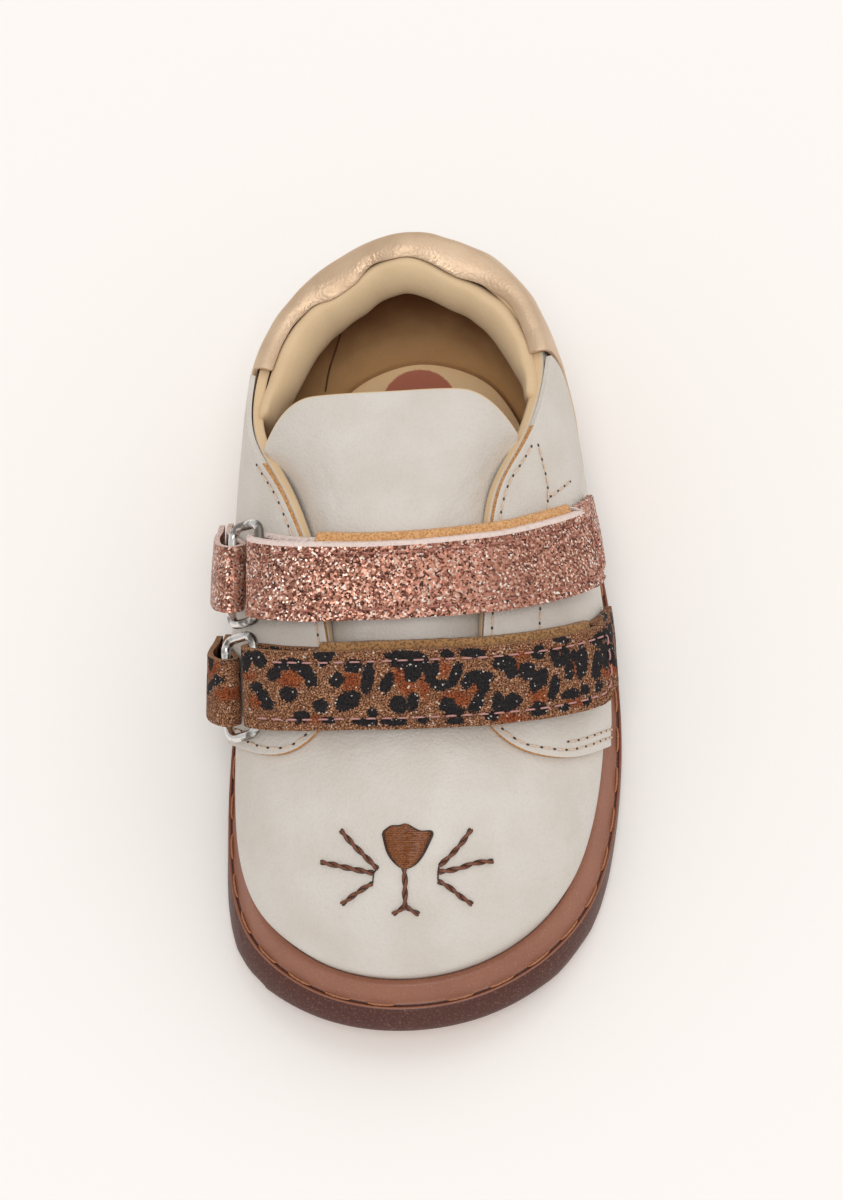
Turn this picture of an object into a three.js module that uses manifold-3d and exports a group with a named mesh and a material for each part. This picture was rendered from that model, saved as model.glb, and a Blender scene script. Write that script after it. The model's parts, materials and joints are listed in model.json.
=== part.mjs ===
// A toddler's left sneaker with a flexible flat sole, standing empty on the floor.
// Millimetres. Toe at -y, heel at +y, outer side of the foot at +x, floor at z = 0.

import * as THREE from 'three';
import { mergeVertices } from 'three/addons/utils/BufferGeometryUtils.js';
import Module from 'manifold-3d';

const { Manifold, Mesh: SolidMesh } = await loadSolids();

async function loadSolids() {
  const library = await Module();
  library.setup();
  return library;
}

// Main sizes.
const LENGTH = 143; // toe bumper to heel of the sole
const HALF_WIDTH = 36.5; // half the width at the ball
const TOP = 50; // top line at the back of the heel

// Sole.
const FLOOR_THICKNESS = 4.2; // inside the cup
const RIDGE_HEIGHT = 6.5; // stitched edge that runs round the side
const LIP_HEIGHT = 10.2;
const LIP_SET_BACK = 3.1; // from the ridge in to the lip
const LIP_WIDTH = 1.3;
const TOE_FLARE = 3.0; // bumper beyond the ridge
const TOE_SPRING = 7.6;
const SPRING_START = -26;
const HEEL_LIFT = 1.6;
const HEEL_LIFT_START = 58;
const ARCH_RISE = 1.0; // of the underside at the inner waist
const ARCH_Y = 9;
const ARCH_REACH = 20;
const GROOVE_WIDTH = 2.0;
const GROOVE_DEPTH = 1.0;
const GROOVES = [-42, -35, -28, -21, -14, 21, 28, 35]; // y of each tread groove, percent of LENGTH

// Upper and the layers on it.
const GAP = 0.3; // between pieces that touch
const PANEL_GAP = 0.34; // leather panels over the shell
const WALL = 1.8; // shell of the upper
const LEATHER = 1.0; // quarters and heel counter
const TONGUE_THICKNESS = 5;
const INSOLE_THICKNESS = 3.2;
const ROLL_WIDTH = 5.6; // padded collar
const ROLL_DEPTH = 12.5; // below the edge of the shell
const ROLL_RISE = 1.4; // above it

// Straps and rings.
const STRAP_WIDTH = 12.6;
const BAND = 1.1; // thickness of one strap layer
const STRAP_REST = 0.55; // strap over what it lies on
const TAB_WIDTH = 10.6;
const PAD = 1.0; // hook and loop, pressed together
const PAD_SHIFT = 1.2; // the pad shows along the heelward edge of the strap
const WIRE = 1.9;
const WIRE_GAP = 0.4; // between the wire and the band round it
const STRAP_PITCH = 18.7; // between the middles of the straps, along the instep
const INSTEP_SLOPE = 22; // degrees, from one strap down to the other
const RING_LENGTH = STRAP_PITCH + 0.9; // the rings lean apart and nearly touch
const RING_WIDTH = 9;
const RING_CORNER = 2.1; // radius of the middle of the wire

const HALF_COLUMNS = 30; // columns on each side of the shoe
const COLUMNS = 2 * HALF_COLUMNS;

// Outline of the stitched ridge, from the toe along the outer side to the heel and back.
// x in percent of HALF_WIDTH, y in percent of LENGTH, flare in percent of TOE_FLARE.
const OUTLINE = [
  { x: -16, y: -47.0, flare: 100 },
  { x: 22, y: -46.0, flare: 95 },
  { x: 55, y: -41.5, flare: 80 },
  { x: 79, y: -34.5, flare: 40 },
  { x: 92, y: -25.5, flare: 5 },
  { x: 98.5, y: -14.0, flare: 0 },
  { x: 99, y: -2.5, flare: 0 },
  { x: 95, y: 10.0, flare: 5 },
  { x: 87, y: 22.5, flare: 10 },
  { x: 76, y: 34.5, flare: 10 },
  { x: 51, y: 45.3, flare: 10 },
  { x: 5, y: 49.8, flare: 10 },
  { x: -41, y: 46.0, flare: 10 },
  { x: -69, y: 36.0, flare: 10 },
  { x: -81, y: 24.0, flare: 10 },
  { x: -88, y: 10.0, flare: 5 },
  { x: -94, y: -5.0, flare: 0 },
  { x: -97, y: -19.0, flare: 5 },
  { x: -94, y: -30.0, flare: 50 },
  { x: -81, y: -38.0, flare: 100 },
  { x: -52, y: -44.3, flare: 105 },
];

// Upper at the same rows. belly: where the side stands furthest out, in mm from the ridge, and its
// height. crown and edge: the turn over the foot and the edge of the opening, x in percent of
// HALF_WIDTH, y in percent of LENGTH, z in percent of TOP.
const FORM = [
  { belly: -3.4, bellyZ: 42, crownX: -11, crownY: -36.0, crownZ: 69, edgeX: -5, edgeY: -14.3, edgeZ: 83 },
  { belly: -3.4, bellyZ: 42, crownX: 19, crownY: -35.8, crownZ: 69, edgeX: 10, edgeY: -14.3, edgeZ: 83 },
  { belly: -3.2, bellyZ: 42, crownX: 42, crownY: -32.5, crownZ: 67, edgeX: 21, edgeY: -14.3, edgeZ: 82 },
  { belly: -3.0, bellyZ: 40, crownX: 59, crownY: -28.0, crownZ: 65, edgeX: 30, edgeY: -14.0, edgeZ: 80 },
  { belly: -2.8, bellyZ: 40, crownX: 68, crownY: -21.5, crownZ: 65, edgeX: 34, edgeY: -11.5, edgeZ: 82 },
  { belly: -2.6, bellyZ: 40, crownX: 74, crownY: -13.0, crownZ: 68, edgeX: 36, edgeY: -6.5, edgeZ: 87 },
  { belly: -2.8, bellyZ: 40, crownX: 77, crownY: -2.8, crownZ: 71, edgeX: 39, edgeY: 1.0, edgeZ: 94 },
  { belly: -2.6, bellyZ: 40, crownX: 79, crownY: 8.4, crownZ: 71, edgeX: 45, edgeY: 10.5, edgeZ: 97 },
  { belly: -1.6, bellyZ: 44, crownX: 80, crownY: 20.6, crownZ: 68, edgeX: 62, edgeY: 20.0, edgeZ: 91 },
  { belly: -0.8, bellyZ: 48, crownX: 75, crownY: 33.2, crownZ: 72, edgeX: 70, edgeY: 32.0, edgeZ: 88 },
  { belly: -0.8, bellyZ: 52, crownX: 51, crownY: 43.8, crownZ: 76, edgeX: 46, edgeY: 41.0, edgeZ: 94 },
  { belly: -0.8, bellyZ: 54, crownX: 5, crownY: 48.3, crownZ: 78, edgeX: 4, edgeY: 45.4, edgeZ: 97 },
  { belly: -0.8, bellyZ: 52, crownX: -40, crownY: 44.3, crownZ: 76, edgeX: -38, edgeY: 42.0, edgeZ: 94 },
  { belly: -0.8, bellyZ: 48, crownX: -68, crownY: 34.8, crownZ: 72, edgeX: -65, edgeY: 34.5, edgeZ: 88 },
  { belly: -1.2, bellyZ: 44, crownX: -78, crownY: 23.4, crownZ: 69, edgeX: -73, edgeY: 22.4, edgeZ: 88 },
  { belly: -2.0, bellyZ: 40, crownX: -80, crownY: 10.5, crownZ: 71, edgeX: -55, edgeY: 11.5, edgeZ: 95 },
  { belly: -2.6, bellyZ: 40, crownX: -78, crownY: -2.8, crownZ: 71, edgeX: -41, edgeY: 0.5, edgeZ: 94 },
  { belly: -2.8, bellyZ: 40, crownX: -75, crownY: -14.6, crownZ: 68, edgeX: -36, edgeY: -7.8, edgeZ: 86 },
  { belly: -2.8, bellyZ: 40, crownX: -71, crownY: -24.0, crownZ: 65, edgeX: -35, edgeY: -12.4, edgeZ: 81 },
  { belly: -3.2, bellyZ: 42, crownX: -59, crownY: -30.4, crownZ: 65, edgeX: -29, edgeY: -14.2, edgeZ: 81 },
  { belly: -3.4, bellyZ: 42, crownX: -37, crownY: -34.4, crownZ: 67, edgeX: -18, edgeY: -14.3, edgeZ: 82 },
];
const HEEL_ROW = 11;
const TAB_RISE = 2.6; // raised tab in the middle of the heel
const TAB_SPREAD = 0.5; // rows
const PROFILE_STOPS = [0, 0.12, 0.4, 0.7, 1]; // cup floor, lip, belly, crown, edge

// Tongue, from its root under the vamp to its free top: mid line y in percent of LENGTH and z in
// percent of TOP, half width in percent of HALF_WIDTH, how far the sides hang below the middle in
// percent of TOP, and the sideways shift of the mid line in percent of HALF_WIDTH.
const TONGUE = [
  { y: -19.2, z: 72.0, half: 30.1, drop: 5.2, shift: 0 },
  { y: -14.3, z: 76.8, half: 37.0, drop: 7.6, shift: 0 },
  { y: -9.1, z: 86.0, half: 41.1, drop: 13.2, shift: -0.5 },
  { y: -2.8, z: 95.6, half: 44.4, drop: 17.2, shift: -0.8 },
  { y: 3.5, z: 102.0, half: 47.7, drop: 20.0, shift: -1.4 },
  { y: 9.8, z: 106.0, half: 50.4, drop: 22.8, shift: -2.5 },
  { y: 15.7, z: 109.6, half: 55.3, drop: 22.8, shift: -3.6 },
  { y: 21.5, z: 113.6, half: 63.0, drop: 18.8, shift: -4.9 },
];

// Two straps. pitch: how many times STRAP_PITCH the middle of each lies below the first along the
// instep. x: sideways place in percent of HALF_WIDTH. turn: in plan. slope: of its plane. free,
// ring, anchor: angles round the foot, from straight up towards the outer side, of its free end,
// its ring and its anchored end. The leans turn the ring and the free end: degrees at the toeward
// edge against the heelward edge. ringShift: how far the ring sits heelward of the strap, in mm.
const STRAPS = {
  upper: {
    pitch: 0,
    x: 8.2,
    turn: 0,
    slope: 40,
    free: 71,
    ring: -53,
    anchor: 92,
    ringLean: 8,
    freeLean: -4,
    ringShift: 0.8,
  },
  lower: {
    pitch: 1,
    x: 6.3,
    turn: -1,
    slope: 38,
    free: 66,
    ring: -50,
    anchor: 92,
    ringLean: 8,
    freeLean: -6,
    ringShift: 0.5,
  },
};
const FIRST_STRAP = { y: -2.1, z: 102 }; // middle of the first strap, percent of LENGTH and of TOP
const STRAP_AXIS_DEPTH = 30; // from the middle of the strap in to the axis of its angles

const material = (color, roughness, metalness = 0) =>
  new THREE.MeshStandardMaterial({ color, roughness, metalness });
const creamLeather = material(0xd6cec0, 0.55);
const goldLeather = material(0xc8a580, 0.4, 0.5);
const beigeLining = material(0xd4b997, 0.8);
const brownRubber = material(0x8a5a47, 0.65);
const insoleFabric = material(0xb89068, 0.9);
const roseGlitter = material(0x9b6e5f, 0.45, 0.2);
const leopardGlitter = material(0x54392e, 0.55, 0.1);
const hookAndLoop = material(0xb08a68, 0.95);
const nickel = material(0xc9c9cc, 0.2, 1);

// Smooth value through four neighbours of a row.
function blend(a, b, c, d, s) {
  const linear = c - a;
  const square = 2 * a - 5 * b + 4 * c - d;
  const cube = 3 * b - a - 3 * c + d;
  return 0.5 * (2 * b + linear * s + square * s * s + cube * s * s * s);
}

// Value of a column of a closed table at row u, which may lie between rows.
function closedValue(table, key, u) {
  const count = table.length;
  const row = Math.floor(u);
  const at = (k) => table[(((row + k) % count) + count) % count][key];
  return blend(at(-1), at(0), at(1), at(2), u - row);
}

// Value of a column of an open table at v from 0 to 1.
function openValue(table, key, v) {
  const last = table.length - 1;
  const row = Math.min(Math.floor(v * last), last - 1);
  const at = (k) => table[THREE.MathUtils.clamp(row + k, 0, last)][key];
  return blend(at(-1), at(0), at(1), at(2), v * last - row);
}

// Row number of a column of the shoe: equal steps along each side, so columns face each other.
function rowOfColumn(column) {
  const rows = OUTLINE.length;
  if (column <= HALF_COLUMNS) {
    return (HEEL_ROW * column) / HALF_COLUMNS;
  }
  return HEEL_ROW + ((rows - HEEL_ROW) * (column - HALF_COLUMNS)) / HALF_COLUMNS;
}

function springAt(y) {
  const toe = Math.max(0, (SPRING_START - y) / (SPRING_START + LENGTH / 2));
  const heel = Math.max(0, (y - HEEL_LIFT_START) / (LENGTH / 2 - HEEL_LIFT_START));
  return TOE_SPRING * toe * toe + HEEL_LIFT * heel * heel;
}

// Rise of the underside at the waist, more on the inner side of the foot.
function archAt(u) {
  const y = (closedValue(OUTLINE, 'y', u) * LENGTH) / 100;
  const near = THREE.MathUtils.smoothstep(ARCH_REACH - Math.abs(y - ARCH_Y), 0, ARCH_REACH);
  return ARCH_RISE * near * (u > HEEL_ROW ? 1 : 0.35);
}

// Point at an outward offset from the ridge, at a height above the sprung sole.
function ringPoint(u, offset, height) {
  const x = (closedValue(OUTLINE, 'x', u) * HALF_WIDTH) / 100;
  const y = (closedValue(OUTLINE, 'y', u) * LENGTH) / 100;
  const step = 0.05;
  const dx = closedValue(OUTLINE, 'x', u + step) - closedValue(OUTLINE, 'x', u - step);
  const dy = closedValue(OUTLINE, 'y', u + step) - closedValue(OUTLINE, 'y', u - step);
  const normal = new THREE.Vector2(dy * LENGTH, -dx * HALF_WIDTH).normalize();
  const place = new THREE.Vector2(x, y).addScaledVector(normal, offset);
  return new THREE.Vector3(place.x, place.y, height + springAt(place.y));
}

function ring(offsetAt, heightAt) {
  const points = [];
  for (let column = 0; column < COLUMNS; column += 1) {
    const u = rowOfColumn(column);
    points.push(ringPoint(u, offsetAt(u), heightAt(u)));
  }
  return points;
}

const fixed = (value) => () => value;

// Geometry from points and triangles, turned to face outwards.
function solidGeometry(points, faces) {
  let volume = 0;
  for (const [a, b, c] of faces) {
    volume += points[a].dot(points[b].clone().cross(points[c]));
  }
  const outward = volume > 0 ? faces : faces.map(([a, b, c]) => [a, c, b]);
  const geometry = new THREE.BufferGeometry().setFromPoints(points);
  geometry.setIndex(outward.flat());
  geometry.computeVertexNormals();
  return geometry;
}

// Closed solid from stacked rings; both ends are closed by strips across the shoe.
function stackedRings(rings) {
  const points = rings.flat();
  const faces = [];
  for (let level = 0; level + 1 < rings.length; level += 1) {
    for (let k = 0; k < COLUMNS; k += 1) {
      const a = level * COLUMNS + k;
      const b = level * COLUMNS + ((k + 1) % COLUMNS);
      faces.push([a, b, b + COLUMNS], [a, b + COLUMNS, a + COLUMNS]);
    }
  }
  const cap = (start, flip) => {
    const add = (a, b, c) => faces.push(flip ? [a, c, b] : [a, b, c]);
    for (let k = 0; k < HALF_COLUMNS; k += 1) {
      const left = start + ((COLUMNS - k) % COLUMNS);
      const nextLeft = start + COLUMNS - k - 1;
      const right = start + k;
      if (k > 0) {
        add(left, nextLeft, right);
      }
      if (k + 1 < HALF_COLUMNS) {
        add(right, nextLeft, right + 1);
      }
    }
  };
  cap(0, false);
  cap((rings.length - 1) * COLUMNS, true);
  return solidGeometry(points, faces);
}

// Closed sheet with thickness from two grids of the same size, indexed [column][row].
function thickSheet(outer, inner, closedRound) {
  const columns = outer.length;
  const rows = outer[0].length;
  const points = [...outer.flat(), ...inner.flat()];
  const half = columns * rows;
  const faces = [];
  const quad = (a, b, c, d) => faces.push([a, b, c], [a, c, d]);
  const steps = closedRound ? columns : columns - 1;
  for (let i = 0; i < steps; i += 1) {
    const next = (i + 1) % columns;
    for (let j = 0; j + 1 < rows; j += 1) {
      const a = i * rows + j;
      const b = next * rows + j;
      quad(a, b, b + 1, a + 1);
      quad(half + a, half + a + 1, half + b + 1, half + b);
    }
    const low = [i * rows, next * rows];
    const high = [low[0] + rows - 1, low[1] + rows - 1];
    quad(low[0], half + low[0], half + low[1], low[1]);
    quad(high[0], high[1], half + high[1], half + high[0]);
  }
  if (!closedRound) {
    const end = (columns - 1) * rows;
    for (let j = 0; j + 1 < rows; j += 1) {
      quad(j, j + 1, half + j + 1, half + j);
      quad(end + j, half + end + j, half + end + j + 1, end + j + 1);
    }
  }
  return solidGeometry(points, faces);
}

// Tube along a closed loop of sections, each a list of points in the same order.
function closedTube(sections) {
  const size = sections[0].length;
  const faces = [];
  for (let i = 0; i < sections.length; i += 1) {
    const next = (i + 1) % sections.length;
    for (let k = 0; k < size; k += 1) {
      const along = (k + 1) % size;
      faces.push([i * size + k, next * size + k, next * size + along]);
      faces.push([i * size + k, next * size + along, i * size + along]);
    }
  }
  return solidGeometry(sections.flat(), faces);
}

// Bar with a section that changes along it, closed by a fan at each end.
function closedBar(sections) {
  const size = sections[0].length;
  const points = sections.flat();
  const faces = [];
  for (let i = 0; i + 1 < sections.length; i += 1) {
    for (let k = 0; k < size; k += 1) {
      const along = (k + 1) % size;
      faces.push([i * size + k, (i + 1) * size + k, (i + 1) * size + along]);
      faces.push([i * size + k, (i + 1) * size + along, i * size + along]);
    }
  }
  const centre = (section) =>
    section.reduce((sum, p) => sum.add(p), new THREE.Vector3()).divideScalar(size);
  const first = points.push(centre(sections[0])) - 1;
  const last = points.push(centre(sections.at(-1))) - 1;
  const end = (sections.length - 1) * size;
  for (let k = 0; k < size; k += 1) {
    const along = (k + 1) % size;
    faces.push([first, k, along]);
    faces.push([last, end + along, end + k]);
  }
  return solidGeometry(points, faces);
}

// Outer surface of the shell. u: row round the shoe. t: 0 inside the cup, 1 at the opening.
function profileStops(u) {
  const value = (key) => closedValue(FORM, key, u);
  const place = (x, y, z) =>
    new THREE.Vector3((x * HALF_WIDTH) / 100, (y * LENGTH) / 100, (z * TOP) / 100);
  const inset = -LIP_SET_BACK - LIP_WIDTH - GAP;
  const belly = ringPoint(u, value('belly'), 0);
  belly.z = (value('bellyZ') * TOP) / 100;
  const edge = place(value('edgeX'), value('edgeY'), value('edgeZ'));
  edge.z += TAB_RISE * Math.exp(-(((u - HEEL_ROW) / TAB_SPREAD) ** 2));
  return [
    ringPoint(u, inset, FLOOR_THICKNESS + GAP),
    ringPoint(u, inset, LIP_HEIGHT),
    belly,
    place(value('crownX'), value('crownY'), value('crownZ')),
    edge,
  ];
}

const profiles = new Map();

function surface(u, t) {
  const key = Math.round(u * 1e6);
  if (!profiles.has(key)) {
    profiles.set(key, new THREE.CatmullRomCurve3(profileStops(u), false, 'centripetal'));
  }
  const last = PROFILE_STOPS.length - 1;
  const clamped = THREE.MathUtils.clamp(t, 0, 1);
  let span = 0;
  while (span < last - 1 && clamped > PROFILE_STOPS[span + 1]) {
    span += 1;
  }
  const share = (clamped - PROFILE_STOPS[span]) / (PROFILE_STOPS[span + 1] - PROFILE_STOPS[span]);
  return profiles.get(key).getPoint((span + share) / last);
}

function surfaceNormal(u, t) {
  const low = THREE.MathUtils.clamp(t, 0.01, 0.99);
  const along = surface(u + 0.04, low).sub(surface(u - 0.04, low));
  const up = surface(u, low + 0.01).sub(surface(u, low - 0.01));
  return along.cross(up).normalize();
}

function lifted(u, t, lift) {
  return surface(u, t).addScaledVector(surfaceNormal(u, t), lift);
}

const mix = THREE.MathUtils.lerp;

function buildOutsole() {
  const flare = (u) => (closedValue(OUTLINE, 'flare', u) * TOE_FLARE) / 100;
  const inset = -LIP_SET_BACK - LIP_WIDTH;
  const shell = stackedRings([
    ring((u) => flare(u) - 2.2, archAt),
    ring((u) => flare(u) - 0.3, (u) => archAt(u) + 0.9),
    ring(flare, fixed(2.2)),
    ring((u) => flare(u) * 0.45 + 0.1, fixed(RIDGE_HEIGHT - 1.6)),
    ring(fixed(0), fixed(RIDGE_HEIGHT)),
    ring(fixed(-0.7), fixed(RIDGE_HEIGHT + 0.1)),
    ring(fixed(-LIP_SET_BACK + 0.2), fixed(LIP_HEIGHT - 0.3)),
    ring(fixed(-LIP_SET_BACK - 0.3), fixed(LIP_HEIGHT)),
    ring(fixed(inset), fixed(LIP_HEIGHT)),
    ring(fixed(inset), fixed(FLOOR_THICKNESS)),
  ]);
  let sole = solidOf(shell);
  for (const share of GROOVES) {
    sole = sole.subtract(solidOf(grooveTool((share * LENGTH) / 100)));
  }
  return geometryOf(sole);
}

function grooveTool(y) {
  const height = 2 * GROOVE_DEPTH;
  const tool = new THREE.BoxGeometry(2.4 * HALF_WIDTH, GROOVE_WIDTH, height);
  const slope = springAt(y - 1) - springAt(y + 1);
  tool.rotateX(-Math.atan2(slope, 2));
  tool.translate(0, y, springAt(y));
  return tool;
}

function solidOf(geometry) {
  const plain = geometry.clone();
  plain.deleteAttribute('normal');
  plain.deleteAttribute('uv');
  const merged = mergeVertices(plain, 1e-4);
  return new Manifold(
    new SolidMesh({
      numProp: 3,
      vertProperties: new Float32Array(merged.attributes.position.array),
      triVerts: new Uint32Array(merged.index.array),
    }),
  );
}

function geometryOf(solid) {
  const mesh = solid.getMesh();
  const geometry = new THREE.BufferGeometry();
  geometry.setAttribute('position', new THREE.BufferAttribute(mesh.vertProperties, 3));
  geometry.setIndex(new THREE.BufferAttribute(mesh.triVerts, 1));
  geometry.computeVertexNormals();
  return geometry;
}

function buildInsole() {
  const inset = -LIP_SET_BACK - LIP_WIDTH - WALL - 2 * GAP - 0.2;
  const low = FLOOR_THICKNESS + GAP;
  const high = low + INSOLE_THICKNESS;
  return stackedRings([
    ring(fixed(inset), fixed(low)),
    ring(fixed(inset), fixed(high + 0.6)),
    ring(fixed(inset - 1.6), fixed(high + 0.6)),
    ring(fixed(inset - 6), fixed(high)),
  ]);
}

const SHELL_ROWS = [0, 0.12, 0.22, 0.32, 0.4, 0.5, 0.6, 0.7, 0.8, 0.9, 1];

function buildUpper() {
  const outer = [];
  const inner = [];
  for (let column = 0; column < COLUMNS; column += 1) {
    const u = rowOfColumn(column);
    outer.push(SHELL_ROWS.map((t) => surface(u, t)));
    inner.push(SHELL_ROWS.map((t) => lifted(u, t, -WALL)));
  }
  return thickSheet(outer, inner, true);
}

// Leather panel laid on the shell. front, rear: row at the height share v from 0 to 1.
// low, high: t at the share s from front to rear.
function panelPoint(panel, s, v, lift) {
  const t = mix(panel.low(s), panel.high(s), v);
  const u = mix(panel.front(v), panel.rear(v), s);
  return lifted(u, t, lift);
}

function buildPanel(panel, columns, rows) {
  const outer = [];
  const inner = [];
  for (let i = 0; i <= columns; i += 1) {
    const s = i / columns;
    const line = Array.from({ length: rows + 1 }, (_, j) => j / rows);
    outer.push(line.map((v) => panelPoint(panel, s, v, PANEL_GAP + LEATHER)));
    inner.push(line.map((v) => panelPoint(panel, s, v, PANEL_GAP)));
  }
  return thickSheet(outer, inner, false);
}

// Smooth curve through a short list of values at equal steps.
function through(values) {
  const table = values.map((value) => ({ value }));
  return (v) => openValue(table, 'value', v);
}

const LIP_T = 0.135; // just above the lip
const facingTop = (s) => 1 - 0.075 * Math.max(0, 1 - s / 0.22) ** 2;

const QUARTER_LATERAL = {
  front: through([5.05, 4.95, 4.75, 4.35, 3.75, 2.75]),
  rear: through([7.4, 7.45, 7.75, 8.45, 8.8, 8.85]),
  low: fixed(LIP_T),
  high: facingTop,
};

const QUARTER_MEDIAL = {
  front: through([16.35, 16.45, 16.65, 17.05, 17.75, 18.7]),
  rear: through([14.6, 14.55, 14.3, 13.7, 13.45, 13.4]),
  low: fixed(LIP_T),
  high: facingTop,
};

// Heel counter between the two quarters; its top folds over the edge of the shell.
const COUNTER_SLIT = 0.05; // rows, between it and each quarter

function buildHeelCounter() {
  const columns = 24;
  const folds = [40, 90, 140];
  const outer = [];
  const inner = [];
  for (let i = 0; i <= columns; i += 1) {
    const s = i / columns;
    const levels = [LIP_T, ...SHELL_ROWS.slice(2)].map((t) => (t - LIP_T) / (1 - LIP_T));
    const rowAt = (v) =>
      mix(QUARTER_LATERAL.rear(v) + COUNTER_SLIT, QUARTER_MEDIAL.rear(v) - COUNTER_SLIT, s);
    const face = (lift) => levels.map((v) => lifted(rowAt(v), mix(LIP_T, 1, v), lift));
    const fold = (lift) => folds.map((angle) => overEdge(rowAt(1), angle, WALL / 2 + lift));
    outer.push([...face(PANEL_GAP + LEATHER), ...fold(PANEL_GAP + LEATHER)]);
    inner.push([...face(PANEL_GAP), ...fold(PANEL_GAP)]);
  }
  return thickSheet(outer, inner, false);
}

// Point on a round fold over the edge of the shell; 0 degrees faces out, 180 degrees faces in.
function overEdge(u, degrees, radius) {
  const normal = surfaceNormal(u, 1);
  const up = surface(u, 1).sub(surface(u, 0.97)).normalize();
  const angle = THREE.MathUtils.degToRad(degrees);
  return lifted(u, 1, -WALL / 2)
    .addScaledVector(normal, radius * Math.cos(angle))
    .addScaledVector(up, radius * Math.sin(angle));
}

// Padded roll inside the top line, from one side of the tongue round the heel to the other. Its
// outer flank follows the shell, its inner flank bulges.
function buildCollarPadding() {
  const steps = 26;
  const from = 8.35;
  const to = 13.9;
  const depths = [-0.05, 0.12, 0.32, 0.56, 0.8, 1].map((share) => share * ROLL_DEPTH);
  depths.unshift(-ROLL_RISE);
  const sections = [];
  for (let i = 0; i <= steps; i += 1) {
    const s = i / steps;
    const u = mix(from, to, s);
    const swell = Math.sqrt(Math.max(0.15, 1 - Math.abs(2 * s - 1) ** 6));
    const covered = u > QUARTER_LATERAL.rear(1) - 0.1 && u < QUARTER_MEDIAL.rear(1) + 0.1;
    const flank = depths.map((depth) => {
      const fold = covered ? (LEATHER + GAP) * THREE.MathUtils.smoothstep(6 - depth, 0, 3.5) : 0;
      return WALL + GAP + 0.1 + fold;
    });
    const outer = depths.map((depth, k) => besideShell(u, depth, flank[k]));
    const inner = depths.map((depth, k) => {
      const share = (depth + ROLL_RISE) / (ROLL_DEPTH + ROLL_RISE);
      const bulge = Math.sqrt(Math.max(0.06, 1 - Math.abs(2 * share - 1) ** 3));
      return besideShell(u, depth, flank[k] + ROLL_WIDTH * swell * bulge);
    });
    outer[0] = outer[0].lerp(inner[0], 0.5);
    outer[depths.length - 1].lerp(inner[depths.length - 1], 0.5);
    sections.push([...outer, ...inner.slice(1, -1).reverse()]);
  }
  return closedBar(sections);
}

// Point at a depth below the edge of the shell and at a distance inside its outer surface.
function besideShell(u, depth, inside) {
  const length = surface(u, 1).distanceTo(surface(u, 0.7));
  const t = Math.min(1, 1 - (0.3 * depth) / length);
  const up = surface(u, 1).sub(surface(u, 0.95)).normalize();
  return lifted(u, t, -inside).addScaledVector(up, Math.max(0, -depth));
}

// Tongue surface: v from the root to the free top, w from -1 to 1 across.
function tonguePoint(v, w) {
  const value = (key, size) => (openValue(TONGUE, key, v) * size) / 100;
  const round = Math.abs(w) ** mix(2.6, 5.5, v ** 4);
  const x = value('shift', HALF_WIDTH) + value('half', HALF_WIDTH) * w;
  const z = value('z', TOP) - value('drop', TOP) * round;
  return new THREE.Vector3(x, value('y', LENGTH), z);
}

function tongueNormal(v, w) {
  const low = THREE.MathUtils.clamp(v, 0.02, 0.98);
  const across = tonguePoint(low, w + 0.05).sub(tonguePoint(low, w - 0.05));
  const along = tonguePoint(low, w).sub(tonguePoint(low - 0.02, w));
  return across.cross(along).normalize();
}

function buildTongue() {
  const columns = 14;
  const rows = 12;
  const outer = [];
  const inner = [];
  for (let i = 0; i <= columns; i += 1) {
    const w = (2 * i) / columns - 1;
    const outerLine = [];
    const innerLine = [];
    for (let j = 0; j <= rows; j += 1) {
      const v = j / rows;
      const side = 1 - Math.abs(w) ** 6;
      const root = Math.min(1, 0.35 + v * 3);
      const top = Math.sqrt(Math.max(0, 1 - Math.max(0, (v - 0.93) / 0.07) ** 2));
      const depth = mix(1.2, TONGUE_THICKNESS, Math.min(side, root, top));
      const swell = (depth - 1.2) * 0.12;
      const normal = tongueNormal(v, w);
      const place = tonguePoint(v, w);
      outerLine.push(place.clone().addScaledVector(normal, swell));
      innerLine.push(place.clone().addScaledVector(normal, swell - depth));
    }
    outer.push(outerLine);
    inner.push(innerLine);
  }
  return thickSheet(outer, inner, false);
}

// Where a plane cuts a set of geometries: points (a, b) along its axes e1 and e2.
function planeCut(geometries, origin, e1, e2) {
  const normal = e1.clone().cross(e2);
  const cut = [];
  const corner = new THREE.Vector3();
  for (const geometry of geometries) {
    const position = geometry.attributes.position;
    const place = [];
    for (let k = 0; k < position.count; k += 1) {
      corner.fromBufferAttribute(position, k).sub(origin);
      place.push([corner.dot(e1), corner.dot(e2), corner.dot(normal)]);
    }
    const index = geometry.index.array;
    for (let k = 0; k < index.length; k += 3) {
      for (const [i, j] of [[0, 1], [1, 2], [2, 0]]) {
        const p = place[index[k + i]];
        const q = place[index[k + j]];
        if (p[2] * q[2] < 0) {
          const share = p[2] / (p[2] - q[2]);
          cut.push(new THREE.Vector2(mix(p[0], q[0], share), mix(p[1], q[1], share)));
        }
      }
    }
  }
  return cut;
}

// Convex outline round a set of flat points.
function hullOf(points) {
  const sorted = [...points].sort((p, q) => p.x - q.x || p.y - q.y);
  const half = (list) => {
    const chain = [];
    for (const point of list) {
      while (chain.length > 1) {
        const a = chain.at(-2);
        const b = chain.at(-1);
        if ((b.x - a.x) * (point.y - a.y) - (b.y - a.y) * (point.x - a.x) > 0) {
          break;
        }
        chain.pop();
      }
      chain.push(point);
    }
    return chain.slice(0, -1);
  };
  return [...half(sorted), ...half(sorted.reverse())];
}

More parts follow.
